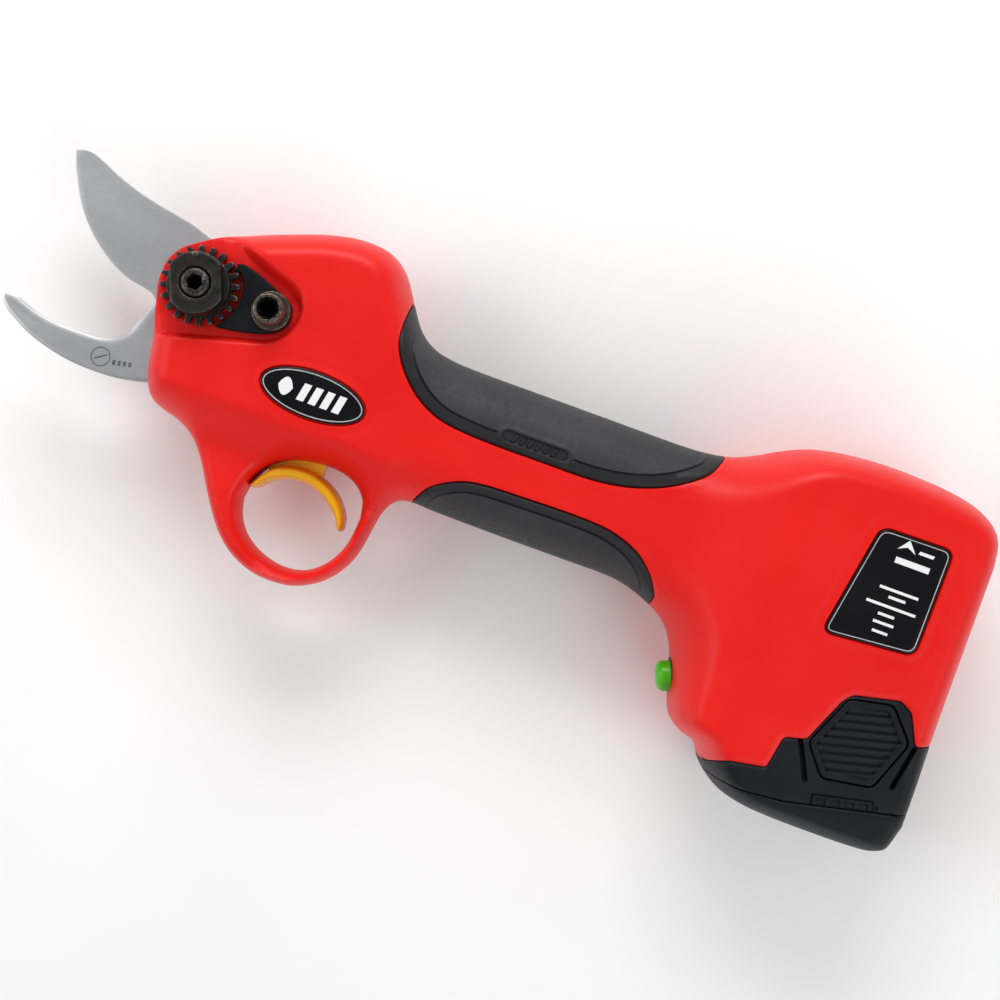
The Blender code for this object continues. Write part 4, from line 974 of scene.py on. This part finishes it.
# ---- battery ----
RIB_TURN, RIB_STEP, RIB_START = radians(14.4), 2.25, np.array([205.0, -67.6])
TAB_TOP, TAB_UNDER, TAB_WELL = 25.8, 23.6, 22.0
SLOTS = [np.array([(195.4, -60.0), (200.3, -69.9)]), np.array([(225.2, -52.2), (223.0, -63.9)])]
MARK_AT, MARK_TURN = (212.6, -72.6), radians(12.5)
CELL_MARK = placed(rounded(rect((-9, -1.9), (7.6, 1.9)), 0.7, 4), MARK_AT, MARK_TURN)
CELL_BARS = [rect((-7.7 + 3.9 * i, -0.9), (-5.3 + 3.9 * i, 0.9)) for i in range(4)]
CELL_BARS.append(rect((7.7, -0.8), (8.9, 0.8)))
CELL_BARS = [placed(shape, MARK_AT, MARK_TURN) for shape in CELL_BARS]
above_seam = np.array([*SEAM_LINE, (245, 60), (160, 60)])
under_seam = np.array([*SEAM_LINE, (245, -110), (160, -110)])


def battery_skin(name, base=False):
    """The battery's outer shape between the housing's cut line and the base seam, or the base itself."""
    def top(p):
        seam_gap = distance(p, [np.array(SEAM_LINE, float)], False)
        z = skin(p) - 0.05 - 0.45 * (1 - ramp(seam_gap, 0.1, 0.7)) ** 1.5
        if not base:
            z = z - 0.4 * (1 - sunk(p, below_cut, GAP, 0.8))
            for line in SLOTS:
                z = z - 2.6 * (1 - ramp(distance(p, [line], False), 0.55, 0.75))
            z = np.where(reach(p, tab_loop) < 0.4, np.minimum(z, TAB_WELL), z)
            z = z - 0.5 * near_line(p, CELL_MARK, 0.1, 0.3)
            for shape in CELL_BARS:
                z = z - 0.5 * sunk(p, shape, -0.1, 0.12)
        return z

    lines = rings(outline, RIM_STEPS, 0) + rings(below_cut, (GAP, 0.5, 0.8), 0.9)
    lines += rings(above_seam, (-0.7, -0.45, -GAP / 2, GAP / 2, 0.45, 0.7), 0.9)
    if not base:
        lines += rings(tab_loop, (-0.42, -0.38), 0.7)
        for shape in (CELL_MARK, *CELL_BARS):
            lines += rings(shape, (-0.3, -0.1, 0.12, 0.3), 0.6)
        for a, b in SLOTS:
            along = (b - a) / np.linalg.norm(b - a)
            over = np.array([-along[1], along[0]])
            for r in (0.53, 0.77):
                ends = [a - along * r + over * r, b + along * r + over * r,
                        b + along * r - over * r, a - along * r - over * r]
                lines.append((spread(ends, 0.8), True))
    window = rect((160, -90), (238, -38))

    def keep(c):
        if base:
            return reach(c, offset(under_seam, GAP / 2)) < 0
        return (reach(c, offset(below_cut, GAP)) < 0) & (reach(c, offset(above_seam, GAP / 2)) < 0)

    plan = sheet([outline], clipped(lines, BODY, window), 1.0, keep, window)
    return solid(name, plan, top, lambda p: -top(p))


dress(battery_skin("battery_case_moulding"), "battery", "battery_black", ["battery_case"])
dress(battery_skin("battery_base_moulding", True), "battery", "battery_black", ["battery_base"])


def tab(side):
    """A release tab: a raised frame round a recessed field of ribs."""
    field = offset(tab_loop, 1.8)
    across = np.array([cos(RIB_TURN), sin(RIB_TURN)])
    up = np.array([-across[1], across[0]])
    start = RIB_START @ up

    def top(p):
        phase = ((p @ up - start) / RIB_STEP) % 1
        rib = np.where(phase < 0.76, phase / 0.76, (1 - phase) / 0.24)
        edge = rolled(-reach(p, tab_loop), 0.6, 0.5)
        return TAB_TOP - edge - sunk(p, field, -0.15, 0.25) * (1.05 - 0.75 * rib ** 0.8)

    lines = rings(tab_loop, (0.06, 0.2, 0.4, 0.6), 0.7) + rings(field, (-0.15, 0.05, 0.25), 0.7)
    middle_across = 205 * across[0] - 60 * across[1]
    for k in range(-1, 12):
        for phase in (0.0, 0.38, 0.76, 0.88):
            level = up * (start + (k + phase) * RIB_STEP)
            ends = [across * (middle_across - 14) + level, across * (middle_across + 26) + level]
            lines.append((spread(ends, 0.6, False), False))
    plan = sheet([spread(tab_loop, 0.7)], clipped(lines, [tab_loop]), 0.8)
    return solid(f"battery_tab_{side}_ribbed", plan, top, flat(TAB_UNDER), side == "right")


for side in ("left", "right"):
    dress(tab(side), f"tab_{side}", "battery_black", [f"battery_tab_{side}"])


def battery_box(name, low, high, edge, slot):
    """A block with rounded edges in the battery's leaning frame: across, up and side."""
    bm = bmesh.new()
    bmesh.ops.create_cube(bm, size=1)
    low, high = np.array(low, float), np.array(high, float)
    for v in bm.verts:
        v.co = [(low[i] + high[i]) / 2 + v.co[i] * (high[i] - low[i]) for i in range(3)]
    bmesh.ops.bevel(bm, geom=bm.edges[:], offset=edge, segments=4, profile=0.5, affect="EDGES")
    bm.verts.ensure_lookup_table()
    corners = np.array([v.co[:] for v in bm.verts])
    points = np.column_stack([placed(corners[:, :2], BATTERY_AT, TILT), corners[:, 2]])
    faces = [[v.index for v in f.verts] for f in bm.faces]
    bm.free()
    dress(made(name, points, faces, 30), "battery", slot)


battery_box("battery_tower", (-20.6, 10, -20.6), (20.6, 74, 20.6), 2.2, "battery_black")
for number, z in enumerate((-12, -4, 4, 12), 1):
    battery_box(f"battery_contact_{number}", (-9, 73.2, z - 1.4), (9, 74.2, z + 1.4), 0.3, "brass")

# ---- CAD nodes that stay ----
SLOT_OF = {row["node"]: row["material_slot"] for row in frame["record"]["subparts"]}
for name, obj in frame["nodes"].items():
    if obj.hide_render:
        continue
    obj.data.materials.clear()
    obj.data.materials.append(LOOKS[SLOT_OF[name]])
    smoothed(obj.data, 30)
    softened = obj.modifiers.new("softened", "BEVEL")
    softened.width, softened.segments, softened.limit_method = 0.15 * MM, 2, "ANGLE"
    softened.angle_limit = radians(40)

# ---- floor, light and camera ----
def area_light(name, at, width, depth, power):
    """A rectangular light turned to the tool."""
    light = bpy.data.lights.new(name, "AREA")
    light.shape, light.size, light.size_y, light.energy = "RECTANGLE", width, depth, power
    obj = added(name, light)
    obj.location = at
    obj.rotation_euler = (-Vector(at)).to_track_quat("-Z", "Y").to_euler()


floor_mat, shader, tree = material("floor_paper")
feed(tree, shader, between(tree, noise(tree, 8, 2), 0.93, 0.96), 0.9)
bpy.ops.mesh.primitive_plane_add(size=6, location=(0, 0, -0.0005))
floor = bpy.context.object
floor.name = "floor"
floor.data.materials.append(floor_mat)

world = bpy.data.worlds.new("studio")
world.use_nodes = True
tree = world.node_tree
direction = node(tree, "SeparateXYZ", {"Vector": node(tree, "TexCoord").outputs["Generated"]})
sky = tree.nodes["Background"].inputs
put(tree, sky["Strength"], 1.0)
put(tree, sky["Color"], between(tree, direction.outputs["Z"], 0.75, 0.3, (0.0, 1.0)))
bpy.context.scene.world = world
area_light("key", (-0.25, 0.75, 0.6), 0.6, 0.4, 5.6)
area_light("fill", (0.65, -0.35, 0.6), 0.6, 0.6, 2.8)
area_light("left", (-0.75, -0.1, 0.6), 0.5, 0.6, 2.2)

camera = bpy.data.cameras.new("camera")
camera.sensor_width, camera.lens = 36, 59.4
camera.clip_start, camera.clip_end = 0.01, 10
viewer = added("camera", camera)
viewer.location = (0.0077, 0.001066, 0.496)
viewer.rotation_euler = (0, 0, radians(20))
bpy.context.scene.camera = viewer
bpy.context.scene.view_settings.view_transform = "Standard"
